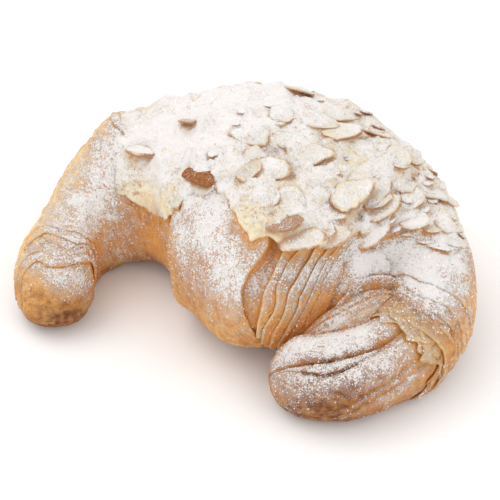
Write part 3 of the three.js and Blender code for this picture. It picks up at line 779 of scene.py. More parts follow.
def boolean_step(piece, operation, tool=None, group=None):
    """Joins or cuts a piece by a solid, or by a collection of them, and keeps the result as its mesh."""
    step = piece.modifiers.new("join", "BOOLEAN")
    step.operation = operation
    step.solver = "MANIFOLD"
    if group:
        step.operand_type = "COLLECTION"
        step.collection = group
    else:
        step.object = tool
    depsgraph = bpy.context.evaluated_depsgraph_get()
    mesh = bpy.data.meshes.new_from_object(piece.evaluated_get(depsgraph))
    piece.modifiers.clear()
    piece.data = mesh
    mesh.materials.clear()


def remove_piece(piece):
    mesh = piece.data
    bpy.data.objects.remove(piece)
    bpy.data.meshes.remove(mesh)


def tray_block():
    """Block that trims the underside flat at the height of the tray."""
    shape = bmesh.new()
    bmesh.ops.create_cube(shape, size=1)
    bmesh.ops.scale(shape, vec=TRAY_SIZE, verts=shape.verts)
    bmesh.ops.translate(shape, vec=(0, 0, -TRAY_SIZE[2] / 2), verts=shape.verts)
    return add_shape("tray", shape)


def rolled_dough():
    """All wraps joined as one solid, with lip distance and streak place kept for each vertex."""
    laid = [lay_wrap(wrap, number) for number, wrap in enumerate([*WRAPS, *ridge_wraps()])]
    laid.extend(bend_roll(name) for name in BEND_ROLLS)
    pieces, places, lips, streaks = zip(*laid)
    whole = pieces[0]
    others = bpy.data.collections.new("wraps")
    bpy.context.scene.collection.children.link(others)
    for piece in pieces[1:]:
        bpy.context.scene.collection.objects.unlink(piece)
        others.objects.link(piece)
    boolean_step(whole, "UNION", group=others)
    for piece in pieces[1:]:
        remove_piece(piece)
    bpy.data.collections.remove(others)
    tray = tray_block()
    boolean_step(whole, "DIFFERENCE", tool=tray)
    remove_piece(tray)
    whole.name = "croissant_dough"
    whole.data.name = "croissant_dough"
    nearest = nearest_places(np.vstack(places), vertex_places(whole.data))
    return whole, np.concatenate(lips)[nearest], np.vstack(streaks)[nearest]


def nearest_places(places, wanted):
    tree = KDTree(len(places))
    for index, place in enumerate(places):
        tree.insert(place, index)
    tree.balance()
    return np.array([tree.find(place)[1] for place in wanted])


# Almond cream.
def cream_height(along, turn, across):
    """Height of the cream over the plain roll."""
    points = roll_point(along, turn)
    dome = quarter_round(np.minimum(across, 1 - across) / CREAM_EDGE_ROUND)
    taper = smooth_step(across, 0.5, 1) * (1 - smooth_step(along, *TAPER_ALONG))
    height = CREAM_THICKNESS * between(between(CREAM_EDGE_SHARE, TAPER_SHARE, taper), 1, dome)
    height = height + lumps(points, LUMPS) * between(LUMPS_AT_EDGE, 1, dome) + place_share(points, SWELLS)
    height = height - FOLD_DEPTH * bell(lumpy(points + FOLD_SHIFT, FOLD_SIZE), 0, FOLD_HALF) * dome
    height = height + lumps(points, FINE_LUMPS) + lumps(points, CRAGS, craggy)
    broken_up = between(CHUNKS_LEFT, 1, smooth_step(along, *CHUNKS_ALONG)) * between(CHUNKS_AT_EDGE, 1, dome)
    height = height + broken_up * lumps(points, CHUNKS, chunky)
    height = height * between(THIN_LEFT, 1, smooth_step(along, *THIN_ALONG))
    height = height - SUNK_LEFT * (1 - smooth_step(along, *SUNK_ALONG))
    crumbled = CRUMBLED_HEIGHT + lumps(points, CRUMBLED_LUMPS)
    slanted = along + (turn - 90) / CRUMBLED_SLANT
    height = between(height, crumbled, CRUMBLED_SHARE * smooth_step(slanted, *CRUMBLED_ALONG))
    return np.maximum(height, CREAM_LEAST) + place_share(points, CREAM_SHOULDER)


def cream_bead(along, edge, across, side):
    """Columns of a beaded edge, from its foot up: angles and heights."""
    half = np.maximum(cream_height(along, edge, across), BEAD_LEAST) / 2
    turns = np.radians(BEAD_TURNS)
    return edge + side * np.degrees(half * np.cos(turns) / BEAD_RADIUS), half + half * np.sin(turns)


def almond_cream():
    """The cream as a flattened barrel with beaded edges, its inner face sunk in the dough."""
    along = between(CREAM_FROM, CREAM_TO, closing_rows(CREAM_ROWS))[:, None]
    front, back, _ = cream_edges(along)
    ragged = along * (RAGGED_PITCH, 0, 0)
    front = front + lumps(ragged, FRONT_RAGGED)[:, None]
    back = back + lumps(ragged, BACK_RAGGED)[:, None]
    middle = 0.5 * (front + back)
    front = np.minimum(front, middle - LEAST_HALF_SPREAD)
    back = np.maximum(back, middle + LEAST_HALF_SPREAD)
    front_turns, front_heights = cream_bead(along, front, 0, -1)
    back_turns, back_heights = cream_bead(along, back, 1, 1)
    across = np.arange(CREAM_COLUMNS + 1) / CREAM_COLUMNS
    top_turns = between(front, back, across)
    top_heights = cream_height(along, top_turns, across)
    under_turns = between(back, front, np.arange(CREAM_UNDER_COLUMNS + 1) / CREAM_UNDER_COLUMNS)
    under_heights = np.full(under_turns.shape, float(CREAM_SUNK))
    turns = np.hstack([front_turns, top_turns, back_turns[:, ::-1], under_turns])
    heights = np.hstack([front_heights, top_heights, back_heights[:, ::-1], under_heights])
    first = roll_point(CREAM_FROM, CREAM_LEFT, CREAM_POLES)
    last = roll_point(CREAM_TO, CREAM_RIGHT, CREAM_POLES)
    return closed_ball("almond_cream", roll_point(along, turns, heights), first, last)


# Flaked almonds.
def plain_shape(make, **fineness):
    """Places and faces of a plain ball or grain, to be shaped and repeated."""
    shape = bmesh.new()
    make(shape, radius=1, **fineness)
    places = np.array([vert.co[:] for vert in shape.verts])
    faces = [[vert.index for vert in face.verts] for face in shape.faces]
    shape.free()
    return places, faces


def joined_copies(name, copies, faces):
    """One mesh from many copies of a shape that have the same faces."""
    places = np.vstack(copies)
    all_faces = []
    for first in range(0, len(places), len(copies[0])):
        all_faces.extend([first + corner for corner in face] for face in faces)
    mesh = bpy.data.meshes.new(name)
    mesh.from_pydata((places * MM).tolist(), [], all_faces)
    mesh.update()
    return add_object(name, mesh)


def strewn_flakes():
    """Flakes spread over the cream by a seeded rule."""
    flakes = []
    for index in range(STREWN_COUNT):
        along = between(*STREWN_ALONG, (index + chance(index, 1, STREWN_SEED)) / STREWN_COUNT)
        front, back, _ = cream_edges(np.array(along))
        across = between(*STREWN_ACROSS, (index * GOLDEN) % 1)
        turn = 360 * chance(index, 2, STREWN_SEED)
        tilt = between(*STREWN_TILT, chance(index, 3, STREWN_SEED))
        lift = between(*STREWN_LIFT, chance(index, 4, STREWN_SEED))
        lift = lift - STREWN_SUNK * (1 - smooth_step(along, *STREWN_SUNK_ALONG))
        size = between(*STREWN_SIZE, chance(index, 5, STREWN_SEED))
        angle = between(front, back, across)
        flakes.append(Flake(along, angle, turn, tilt, lift, size, 0, STREWN_RIM_AND_SHADE, STREWN_BROKEN))
    return flakes


def strewn_bits(draw):
    """Broken bits of almond, over the cream from its middle to its right end."""
    bits = []
    for _ in range(BIT_COUNT):
        along = draw.uniform(*BIT_ALONG)
        front, back, _ = cream_edges(np.array(along))
        angle = between(front, back, draw.uniform(*BIT_ACROSS))
        tilt = draw.uniform(*BIT_TILT)
        turn = draw.uniform(0, 360)
        lift = draw.uniform(*BIT_LIFT)
        size = draw.uniform(*BIT_SIZE)
        bits.append(Flake(along, angle, turn, tilt, lift, size, 0, BIT_RIM_AND_SHADE, BIT_BROKEN))
    return bits


def flake_shape(ball, size, broken, draw):
    """A thin almond slice, round at one end and pointed at the other, slightly bent."""
    angle = np.arctan2(ball[:, 1], ball[:, 0])
    uneven = 1 + sum(reach * np.sin(waves * angle + draw.uniform(0, 6)) for waves, reach in FLAKE_EDGE)
    x = ball[:, 0] * uneven
    y = ball[:, 1] * uneven * (1 - FLAKE_POINTED * x)
    long = FLAKE_HALF_LENGTH * size * x
    wide = FLAKE_HALF_WIDTH * size * y
    if draw.uniform() < broken:
        end = FLAKE_HALF_LENGTH * size * draw.uniform(*FLAKE_BREAK)
        long = np.minimum(long, end + FLAKE_BREAK_SLANT * wide)
    half_thickness = 0.5 * FLAKE_THICKNESS * min(1, FLAKE_THINNER + size)
    thick = half_thickness * np.sign(ball[:, 2]) * np.abs(ball[:, 2]) ** FLAKE_FLATNESS
    bend_along, bend_across = [draw.uniform(*bend) for bend in FLAKE_BENDS]
    return np.stack([long, wide, thick + bend_along * long**2 + bend_across * wide**2], axis=-1)


def almond_flakes(name, flakes, fineness, draw):
    """Thin almond slices lying on the cream, with the brown rim and painted underside shade, and the skin of
    each vertex.
    """
    columns, rows = fineness
    ball, faces = plain_shape(bmesh.ops.create_uvsphere, u_segments=columns, v_segments=rows)
    # Brown skin at the rim, and painted shade over the whole underside.
    rim = smooth_step(-ball[:, 2], *FLAKE_SKIN_AND_SHADE)
    copies = []
    rims_and_shade = []
    skins = []
    for flake in flakes:
        shape = flake_shape(ball, flake.size, flake.broken, draw)
        along = np.array(float(flake.along))
        angle = np.array(float(flake.angle))
        front, back, _ = cream_edges(along)
        across = np.clip((angle - front) / (back - front), 0, 1)
        height = cream_height(along, angle, across) + flake.lift - FLAKE_SUNK
        place = roll_point(along, angle, height)
        outward = Vector(roll_point(along, angle, 1) - roll_point(along, angle)).normalized()
        sideways = (TO_RIGHT - outward * outward.dot(TO_RIGHT)).normalized()
        lying = Matrix((sideways, outward.cross(sideways), outward)).transposed()
        lean = Matrix.Rotation(math.radians(flake.tilt), 3, "X")
        spin = Matrix.Rotation(math.radians(flake.turn), 3, "Z")
        copies.append(shape @ np.array(lying @ lean @ spin).T + place)
        rims_and_shade.append(rim * flake.rim)
        skins.append(np.full(len(ball), float(flake.skin)))
    piece = joined_copies(name, copies, faces)
    return piece, np.concatenate(rims_and_shade), np.concatenate(skins)


# Light and shelter on the finished shapes.
def direction_ring(tilt, count, shift):
    """Directions on a ring round the vertical, at a tilt in degrees."""
    side = math.sin(math.radians(tilt))
    turns = 2 * np.pi * (np.arange(count) + shift) / count
    height = np.full(count, math.cos(math.radians(tilt)))
    return np.stack([side * np.cos(turns), side * np.sin(turns), height], axis=-1)


def sift_directions():
    """Directions that sifted sugar falls from: straight from the sieve and two rings round that."""
    lean = np.array(UP.rotation_difference(Vector(SIFT_FROM)).to_matrix())
    return np.vstack([direction_ring(*ring) for ring in SIFT_RINGS]) @ lean.T


def ball_directions(count):
    """Directions spread evenly over a ball."""
    index = np.arange(count)
    height = 1 - 2 * (index + 0.5) / count
    side = np.sqrt(1 - height**2)
    turn = 2 * np.pi * index * GOLDEN
    return np.stack([side * np.cos(turn), side * np.sin(turn), height], axis=-1)


def surface_cloud(pieces):
    """Corners, middles and two edge middles of all triangles, in mm."""
    clouds = []
    for piece in pieces:
        places = vertex_places(piece.data)[triangle_corners(piece.data)] / MM
        clouds.append(vertex_places(piece.data) / MM)
        clouds.append(places.mean(axis=1))
        clouds.append(0.5 * (places[:, 0] + places[:, 1]))
        clouds.append(0.5 * (places[:, 1] + places[:, 2]))
    return np.vstack(clouds)


def open_share(places, normals, cloud, directions):
    """Share of the directions, by how squarely they are faced, that nothing in the cloud hides."""
    opened = np.zeros(len(places))
    total = np.full(len(places), 1e-6)
    lifted = places + normals * CELL
    middle = cloud.mean(axis=0)
    wide = int(2 * MAP_REACH / CELL)
    for direction in directions:
        across = np.cross(direction, MAP_AXIS)
        across /= np.linalg.norm(across)
        axes = np.stack([across, np.cross(direction, across)], axis=-1) / CELL
        cells = ((cloud - middle) @ axes + wide / 2).astype(np.int32)
        nearest = np.full(wide * wide, -1e9)
        np.maximum.at(nearest, cells[:, 0] * wide + cells[:, 1], cloud @ direction)
        spots = ((lifted - middle) @ axes + wide / 2).astype(np.int32)
        hidden = nearest[spots[:, 0] * wide + spots[:, 1]]
        facing = normals @ direction
        slope = np.sqrt(1 - np.minimum(facing**2, 1)) / np.maximum(facing, GRAZING)
        seen = lifted @ direction > hidden - CELL * (MAP_SLACK[0] + MAP_SLACK[1] * slope)
        weight = np.where(facing > LEAST_FACING, facing, 0)
        opened += weight * seen
        total += weight
    return opened / total


# Maps that find what lies sheltered: fineness and half width in mm, and how they allow for slopes.
CELL = 0.4
MAP_REACH = 115
MAP_AXIS = (0.3, 0.9, 0.31)  # any direction that no map looks along
MAP_SLACK = (0.4, 0.8)
GRAZING = 0.15
LEAST_FACING = 0.05
SHELTER_DIRECTIONS = 36

# Icing sugar: where it falls from, with rings of directions round that (tilt, count, shift), and how it lies.
SIFT_FROM = (0.12, -0.2, 1)
SIFT_RINGS = ((0, 1, 0), (20, 6, 0), (42, 6, 0.5))
SIFT_SLOPE = (-0.1, 0.9)
SUGAR_MOST = 0.66
SUGAR_OPENNESS = 1.2
DRIFT_ON_STEEP = 0.4
HOLLOW_SUGAR = 1.5
FLAKE_SUGAR = 0.88
SKIN_BARE = 0.8
RIM_BARE = 0.95
# For each piece: angle up to which its edges look smooth, least share of sugar, number of grains.
DUSTING = {
    "croissant_dough": (48, 0.18, 3500),
    "almond_cream": (70, 0.27, 2500),
    "almond_flakes": (60, 0.34, 500),
    "almond_bits": (60, 0.3, 200),
}
GRAIN_SIZE = (0.12, 0.3)
GRAIN_UNEVEN = (0.75, 1.25)
GRAIN_ROUGH = 0.15
GRAIN_DETAIL = 1
GRAIN_SMOOTH = 60
GRAIN_ODDS = 1.5

# Where sugar lies thicker or thinner: section number, angle, half size in mm, amount.
SUGAR_DRIFTS = [
    (0.15, 82, 10, -0.6),
    (0.3, 0, 8, -0.3),
    (0.42, 60, 6, 0.2),
    (0.7, 96, 9, 0.05),
    (2.4, 76, 16, 0.16),
    (4.6, 80, 28, 0.24),
    (5.3, 110, 20, 0.2),
    (3.25, 34, 8, -0.55),
    (3.4, 124, 8, -0.35),
    (2.9, 126, 10, -0.3),
    (4.6, 40, 5, -0.4),
    (6.05, 49, 8, -0.55),
    (7.1, 48, 6, -0.35),
    (6.5, 88, 14, -0.1),
    (5.4, 40, 15, 0.08),
    (5.5, -25, 16, -0.25),
    (6.6, 10, 12, -0.15),
    (7.4, 84, 24, 0.03),
    (8.4, 62, 12, 0.44),
    (7.8, 40, 15, 0.22),
    (9.1, 150, 10, -0.15),
    (7.3, 30, 14, 0.1),
    (3.6, -5, 6, -0.3),
    (2.4, 0, 9, 0.4),
    (2.2, 130, 15, -0.3),
    (1.1, 130, 12, -0.3),
    (9.3, 80, 6, 0.3),
    (9.35, 112, 6, 0.3),
    (9.75, 50, 10, -0.3),
    (9.8, 78, 8, -0.24),
    (9.65, 118, 9, -0.25),
    (11, 135, 11, -0.1),
    (9.9, 140, 14, -0.2),
    (11.2, 162, 14, -0.3),
    (11.2, 82, 14, 0.35),
]
# Where it lies thinner on the bend: x, y, z, half size in mm, amount.
SUGAR_THIN = [
    (35, -20, 26, 9, -0.2),
    (42, -13, 31, 8, -0.2),
]
# Where the crust is painted darker, partly as deeper-baked crust and partly as painted shade on shaded sides
# such as the left tip's lower right and the horn's underside: section number, angle, half size in mm, amount.
BAKED_AND_SHADED_PLACES = [
    (0.25, -14, 10, 1),
    (0.15, 75, 10, 0.1),
    (5.6, -15, 16, 0.28),
    (9.9, 175, 9, 0.35),
    (9.75, 70, 10, 0.45),
    (9.6, 125, 8, 0.45),
    (10.9, 150, 15, 0.75),
    (11.3, 128, 10, 0.35),
    (11.6, 190, 14, 0.9),
]
# It is also darker low down where it faces down, partly tray-baked crust and partly painted shade: share,
# heights, and how far it faces down.
BAKED_AND_SHADED_LOW = 0.8
BAKED_AND_SHADED_HEIGHTS = (1, 15)
BAKED_AND_SHADED_FACING = (-0.35, 0.6)
# Where the crust is painted paler, partly as paler crust and partly, along the left arm's back rim, as
# painted rim light: section number, angle, half size in mm, amount.
PALE_AND_LIT_PLACES = [
    (0.9, 132, 9, 0.8),
    (1.7, 128, 11, 0.9),
    (2.6, 122, 12, 0.9),
    (3.3, 116, 9, 0.8),
    (10.1, 80, 4, 0.8),
    (10.05, 105, 4, 0.9),
    (9.98, 130, 4, 0.9),
    (9.9, 155, 4, 0.7),
]
# Hollows counted as more sheltered, so their crust is painted a bright orange, partly as painted light in
# them, and holds less sugar: section number, angle, half size in mm, amount.
HOLLOWS = [
    (9.62, 165, 5, 0.4),
    (3.6, -5, 5, 0.25),
]


def place_share(places, spots):
    """Sum of soft round spots on the roll."""
    share = np.zeros(places.shape[:-1])
    for along, turn, half, amount in spots:
        distance = np.linalg.norm(places - roll_point(along, turn), axis=-1)
        share = share + amount * bell(distance, 0, half)
    return share


def baked_and_shaded_share(places, normals):
    """How dark the crust is painted, partly deeper-baked crust and partly painted shade: low down on the
    downward-facing sides, and at the listed places.
    """
    low = 1 - smooth_step(places[:, 2], *BAKED_AND_SHADED_HEIGHTS)
    share = BAKED_AND_SHADED_LOW * low * smooth_step(-normals[:, 2], *BAKED_AND_SHADED_FACING)
    return np.clip(share + place_share(places, BAKED_AND_SHADED_PLACES), 0, 1)


def sugar_load(opened, places, normals, least):
    """Share of the surface that sugar covers. Less of a thicker drift stays where it is steep."""
    sift = np.array(SIFT_FROM) / np.linalg.norm(SIFT_FROM)
    slope = smooth_step(normals @ sift, *SIFT_SLOPE)
    thicker = place_share(places, [drift for drift in SUGAR_DRIFTS if drift[-1] > 0])
    thinner = place_share(places, [drift for drift in SUGAR_DRIFTS if drift[-1] < 0])
    load = between(least, SUGAR_MOST, slope) + thicker * between(DRIFT_ON_STEEP, 1, slope) + thinner
    for *middle, half, amount in SUGAR_THIN:
        load = load + amount * bell(np.linalg.norm(places - middle, axis=-1), 0, half)
    return np.clip(opened**SUGAR_OPENNESS * load, 0, 1)


def keep_values(mesh, name, values):
    kind = "FLOAT_VECTOR" if values.ndim == 2 else "FLOAT"
    layer = mesh.attributes.new(name, kind, "POINT")
    layer.data.foreach_set("vector" if values.ndim == 2 else "value", values.astype(np.float32).ravel())


def smooth_faces(mesh, angle):
    mesh.polygons.foreach_set("use_smooth", np.ones(len(mesh.polygons), dtype=bool))
    mesh.set_sharp_from_angle(angle=math.radians(angle))
    mesh.update()


# Sugar grains that stand on the surface.
def surface_spots(mesh, weight, count, draw):
    """Places strewn over a mesh, more where the weight is high."""
    corners = triangle_corners(mesh)
    places = vertex_places(mesh)[corners]
    area = np.linalg.norm(np.cross(places[:, 1] - places[:, 0], places[:, 2] - places[:, 0]), axis=-1)
    odds = area * weight[corners].mean(axis=1)
    chosen = draw.choice(len(corners), size=count, p=odds / odds.sum())
    shares = draw.dirichlet((1, 1, 1), size=count)
    return np.einsum("ij,ijk->ik", shares, places[chosen]) / MM


def grains(name, spots, draw):
    """Small rough grains standing on the given spots."""
    ball, faces = plain_shape(bmesh.ops.create_icosphere, subdivisions=GRAIN_DETAIL)
    copies = []
    for spot in spots:
        size = draw.uniform(*GRAIN_SIZE) * draw.uniform(*GRAIN_UNEVEN, size=3)
        bumps = 1 + GRAIN_ROUGH * draw.uniform(-1, 1, size=(len(ball), 1))
        copies.append(ball * bumps * size + spot)
    return joined_copies(name, copies, faces)


# Materials.
def paint(red, green, blue):
    """Colour as seen on a screen, 0 to 255, as the linear colour that a shader takes."""
    shares = [value / 255 for value in (red, green, blue)]
    linear = [share / 12.92 if share <= 0.04045 else ((share + 0.055) / 1.055) ** 2.4 for share in shares]
    return (*linear, 1.0)


def add_node(tree, kind, inputs=None, **settings):
    node = tree.nodes.new(kind)
    for name, value in settings.items():
        setattr(node, name, value)
    for name, value in (inputs or {}).items():
        if isinstance(value, bpy.types.NodeSocket):
            tree.links.new(value, node.inputs[name])
        else:
            node.inputs[name].default_value = value
    return node


def noise(tree, place, scale, detail, roughness):
    values = {"Vector": place, "Scale": scale, "Detail": detail, "Roughness": roughness}
    return add_node(tree, "ShaderNodeTexNoise", values).outputs["Fac"]


def maths(tree, operation, first, second):
    return add_node(tree, "ShaderNodeMath", {0: first, 1: second}, operation=operation).outputs[0]


def weighted(tree, *parts):
    """Values added up, each with its weight."""
    total, *others = [maths(tree, "MULTIPLY", value, weight) for value, weight in parts]
    for other in others:
        total = maths(tree, "ADD", total, other)
    return total


def remapped(tree, value, low, high, to_low=0.0, to_high=1.0):
    values = {"Value": value, "From Min": low, "From Max": high, "To Min": to_low, "To Max": to_high}
    node = add_node(tree, "ShaderNodeMapRange", values, interpolation_type="SMOOTHSTEP")
    return node.outputs["Result"]


def mixed(tree, share, first, second):
    node = add_node(tree, "ShaderNodeMix", {0: share, 6: first, 7: second}, data_type="RGBA")
    return node.outputs[2]


def attribute(tree, name, output="Fac"):
    return add_node(tree, "ShaderNodeAttribute", attribute_name=name).outputs[output]


def object_place(tree):
    return add_node(tree, "ShaderNodeTexCoord").outputs["Object"]


def icing_sugar_group():
    """Sugar dusting: from the load at a place, the share that grains cover and their relief."""
    tree = bpy.data.node_groups.new("icing sugar", "ShaderNodeTree")
    tree.interface.new_socket("Load", in_out="INPUT", socket_type="NodeSocketFloat")
    tree.interface.new_socket("Cover", in_out="OUTPUT", socket_type="NodeSocketFloat")
    tree.interface.new_socket("Relief", in_out="OUTPUT", socket_type="NodeSocketFloat")
    entry = add_node(tree, "NodeGroupInput")
    place = object_place(tree)
    fine = noise(tree, place, 2100, 2, 0.7)
    middle = noise(tree, place, 700, 3, 0.6)
    wide = noise(tree, place, 140, 3, 0.55)
    drift = maths(tree, "SUBTRACT", weighted(tree, (middle, 0.8), (wide, 1.0)), 0.9)
    level = maths(tree, "ADD", entry.outputs["Load"], drift)
    grain = maths(tree, "ADD", maths(tree, "MULTIPLY", maths(tree, "SUBTRACT", fine, 0.5), 2.2), 0.5)
    edge = maths(tree, "SUBTRACT", 1.0, level)
    cover = remapped(tree, grain, maths(tree, "SUBTRACT", edge, 0.1), maths(tree, "ADD", edge, 0.1))
    gate = remapped(tree, entry.outputs["Load"], 0.0, 0.1)
    cover = maths(tree, "MULTIPLY", cover, gate)
    relief = maths(tree, "MULTIPLY", cover, maths(tree, "ADD", maths(tree, "MULTIPLY", fine, 0.8), 0.3))
    add_node(tree, "NodeGroupOutput", {"Cover": cover, "Relief": relief})
    return tree


def use_group(tree, group, **values):
    return add_node(tree, "ShaderNodeGroup", values, node_tree=group).outputs


def new_material(name):
    material = bpy.data.materials.new(name)
    material.use_nodes = True
    tree = material.node_tree
    return material, tree, tree.nodes["Principled BSDF"]


# Colours of the sugar, and how far light enters below the surface, in metres for red, green and blue.
SUGAR_WHITE = paint(237, 232, 229)
SUGAR_HAZE = paint(206, 182, 172)
DOUGH_LIGHT = (0.003, 0.0014, 0.0006)
ALMOND_LIGHT = (0.002, 0.0014, 0.0009)


def finish_shader(tree, shader, colour, relief, distance, roughness):
    bump = add_node(tree, "ShaderNodeBump", {"Height": relief, "Distance": distance, "Strength": 1.0})
    tree.links.new(colour, shader.inputs["Base Color"])
    tree.links.new(bump.outputs["Normal"], shader.inputs["Normal"])
    shader.inputs["Roughness"].default_value = roughness
    shader.inputs["Specular IOR Level"].default_value = 0.25


def let_light_in(shader, share, reach):
    """Light that enters and scatters below the surface."""
    shader.inputs["Subsurface Weight"].default_value = share
    shader.inputs["Subsurface Radius"].default_value = reach
    shader.inputs["Subsurface Scale"].default_value = 1.0


def dough_material(sugar_group):
    material, tree, shader = new_material("baked dough")
    place = object_place(tree)
    streak_place = add_node(
        tree,
        "ShaderNodeMapping",
        {"Vector": attribute(tree, "streak", "Vector"), "Scale": (0.9, 0.06, 1.0)},
    ).outputs["Vector"]
    tone = noise(tree, place, 70, 4, 0.6)
    fleck = noise(tree, place, 420, 3, 0.6)
    speck = noise(tree, place, 1500, 3, 0.65)
    streak = noise(tree, streak_place, 1.0, 3, 0.6)
    crackle = noise(tree, place, 240, 5, 0.65)
    colour = mixed(tree, remapped(tree, tone, 0.38, 0.62), paint(202, 128, 54), paint(228, 162, 86))
    shelter = attribute(tree, "shelter")
    # Partly painted light: sheltered creases are painted a brighter orange to lift their shade; partly this
    # is the paler, less baked crust in them.
    colour = mixed(tree, remapped(tree, shelter, 0.2, 0.6, 0, 0.8), colour, paint(234, 160, 84))
    colour = mixed(tree, remapped(tree, fleck, 0.47, 0.66, 0, 0.6), colour, paint(176, 106, 48))
    colour = mixed(tree, remapped(tree, crackle, 0.5, 0.66, 0, 0.5), colour, paint(242, 200, 138))
    colour = mixed(tree, remapped(tree, streak, 0.42, 0.66, 0, 0.55), colour, paint(238, 198, 138))
    colour = mixed(tree, remapped(tree, speck, 0.5, 0.66, 0, 0.4), colour, paint(242, 198, 136))
    colour = mixed(tree, remapped(tree, speck, 0.5, 0.36, 0, 0.35), colour, paint(164, 96, 42))
    pale_patch = remapped(tree, noise(tree, place, 85, 4, 0.65), 0.54, 0.7, 0, 0.6)
    colour = mixed(tree, pale_patch, colour, paint(240, 200, 134))
    # Pale rim, partly paler crust and partly painted rim light along the left arm's back.
    rim = maths(tree, "MULTIPLY", attribute(tree, "pale"), remapped(tree, fleck, 0.35, 0.55, 0.3, 1.0))
    colour = mixed(tree, rim, colour, paint(248, 216, 150))
    toast = remapped(tree, noise(tree, place, 110, 4, 0.65), 0.52, 0.7, 0, 0.6)
    colour = mixed(tree, toast, colour, paint(168, 104, 52))
    # More painted light in the sheltered creases, together with the paler, less baked crust there.
    colour = mixed(tree, remapped(tree, shelter, 0.2, 0.5, 0, 0.5), colour, paint(238, 166, 92))
    lip = attribute(tree, "lip")
    pale = maths(tree, "MULTIPLY", remapped(tree, lip, 1.5, 0.2), remapped(tree, tone, 0.36, 0.6, 0.15, 0.85))
    colour = mixed(tree, pale, colour, paint(246, 212, 158))
    # Dark brown, partly deeper-baked crust and partly painted shade on the low, downward-facing sides and at
    # shaded places.
    bake = maths(tree, "MULTIPLY", attribute(tree, "bake"), remapped(tree, fleck, 0.3, 0.65, 0.5, 1.0))
    colour = mixed(tree, bake, colour, paint(114, 60, 27))
    caught = maths(tree, "MULTIPLY", maths(tree, "SUBTRACT", streak, 0.5), 0.5)
    sugar = use_group(tree, sugar_group, Load=maths(tree, "ADD", attribute(tree, "sugar"), caught))
    haze = remapped(tree, attribute(tree, "sugar"), 0.02, 0.45, 0, 0.6)
    haze = maths(tree, "MULTIPLY", haze, remapped(tree, crackle, 0.35, 0.62, 0.35, 1.0))
    haze = maths(tree, "MULTIPLY", haze, remapped(tree, shelter, 0.15, 0.45, 1.0, 0.2))
    colour = mixed(tree, haze, colour, SUGAR_HAZE)
    colour = mixed(tree, sugar["Cover"], colour, SUGAR_WHITE)
    relief = weighted(tree, (fleck, 0.8), (streak, 1.4), (speck, 0.5), (crackle, 2.2), (sugar["Relief"], 0.8))
    finish_shader(tree, shader, colour, relief, 0.0004, 0.62)
    let_light_in(shader, 0.2, DOUGH_LIGHT)
    return material


def cream_material(sugar_group):
    material, tree, shader = new_material("almond cream")
    place = object_place(tree)
    tone = noise(tree, place, 160, 3, 0.6)
    fine = noise(tree, place, 1100, 4, 0.65)
    colour = mixed(tree, remapped(tree, tone, 0.35, 0.65), paint(233, 213, 174), paint(245, 234, 208))
    shelter = attribute(tree, "shelter")
    # Painted shade: sheltered crevices of the cream are painted a warm brown.
    colour = mixed(tree, remapped(tree, shelter, 0.15, 0.45, 0, 0.6), colour, paint(206, 150, 98))
    toast = remapped(tree, noise(tree, place, 210, 3, 0.6), 0.6, 0.74, 0, 0.7)
    colour = mixed(tree, toast, colour, paint(206, 160, 92))
    crust = maths(
        tree,
        "MULTIPLY",
        remapped(tree, noise(tree, place, 620, 3, 0.65), 0.48, 0.62, 0, 0.75),
        remapped(tree, noise(tree, place, 75, 2, 0.5), 0.4, 0.56),
    )
    colour = mixed(tree, crust, colour, paint(188, 136, 94))
    bare = remapped(tree, noise(tree, place, 170, 3, 0.6), 0.56, 0.72, 0, 0.32)
    load = maths(tree, "SUBTRACT", attribute(tree, "sugar"), bare)
    sugar = use_group(tree, sugar_group, Load=load)
    colour = mixed(tree, sugar["Cover"], colour, SUGAR_WHITE)
    relief = weighted(tree, (tone, 1.2), (fine, 1.4), (sugar["Relief"], 0.7))
    finish_shader(tree, shader, colour, relief, 0.00026, 0.7)
    let_light_in(shader, 0.22, ALMOND_LIGHT)
    return material


def flake_material(sugar_group):
    material, tree, shader = new_material("flaked almond")
    place = object_place(tree)
    tone = noise(tree, place, 240, 3, 0.5)
    fine = noise(tree, place, 1200, 2, 0.6)
    colour = mixed(tree, remapped(tree, tone, 0.35, 0.65), paint(241, 227, 200), paint(249, 241, 224))
    skin_colour = mixed(tree, remapped(tree, fine, 0.35, 0.65), paint(122, 68, 30), paint(170, 108, 56))
    shelter = attribute(tree, "shelter")
    # Painted shade: sheltered parts of a flake are painted a warm brown.
    colour = mixed(tree, remapped(tree, shelter, 0.15, 0.45, 0, 0.6), colour, paint(206, 150, 98))
    # The rim attribute is brown skin at the rim and painted shade on the underside.
    rim = maths(tree, "MULTIPLY", attribute(tree, "rim"), remapped(tree, tone, 0.4, 0.6, 0.25, 0.9))
    skin = maths(tree, "MAXIMUM", rim, attribute(tree, "skin"))
    colour = mixed(tree, skin, colour, skin_colour)
    sugar = use_group(tree, sugar_group, Load=attribute(tree, "sugar"))
    colour = mixed(tree, sugar["Cover"], colour, SUGAR_WHITE)
    relief = weighted(tree, (fine, 0.9), (sugar["Relief"], 0.8))
    finish_shader(tree, shader, colour, relief, 0.0003, 0.6)
    let_light_in(shader, 0.2, ALMOND_LIGHT)
    return material


def sugar_material():
    material, tree, shader = new_material("sugar grains")
    place = object_place(tree)
    tone = noise(tree, place, 500, 2, 0.5)
    colour = mixed(tree, remapped(tree, tone, 0.3, 0.7), paint(246, 242, 240), paint(254, 252, 251))
    relief = noise(tree, place, 4000, 2, 0.5)
    finish_shader(tree, shader, colour, relief, 0.0001, 0.6)
    return material


def floor_material():
    material, tree, shader = new_material("pale floor")
    place = object_place(tree)
    tone = noise(tree, place, 3, 2, 0.5)
    colour = mixed(tree, tone, paint(250, 250, 250), paint(253, 253, 253))
    tree.links.new(colour, shader.inputs["Base Color"])
    shader.inputs["Roughness"].default_value = 0.9
    shader.inputs["Specular IOR Level"].default_value = 0.1
    return material


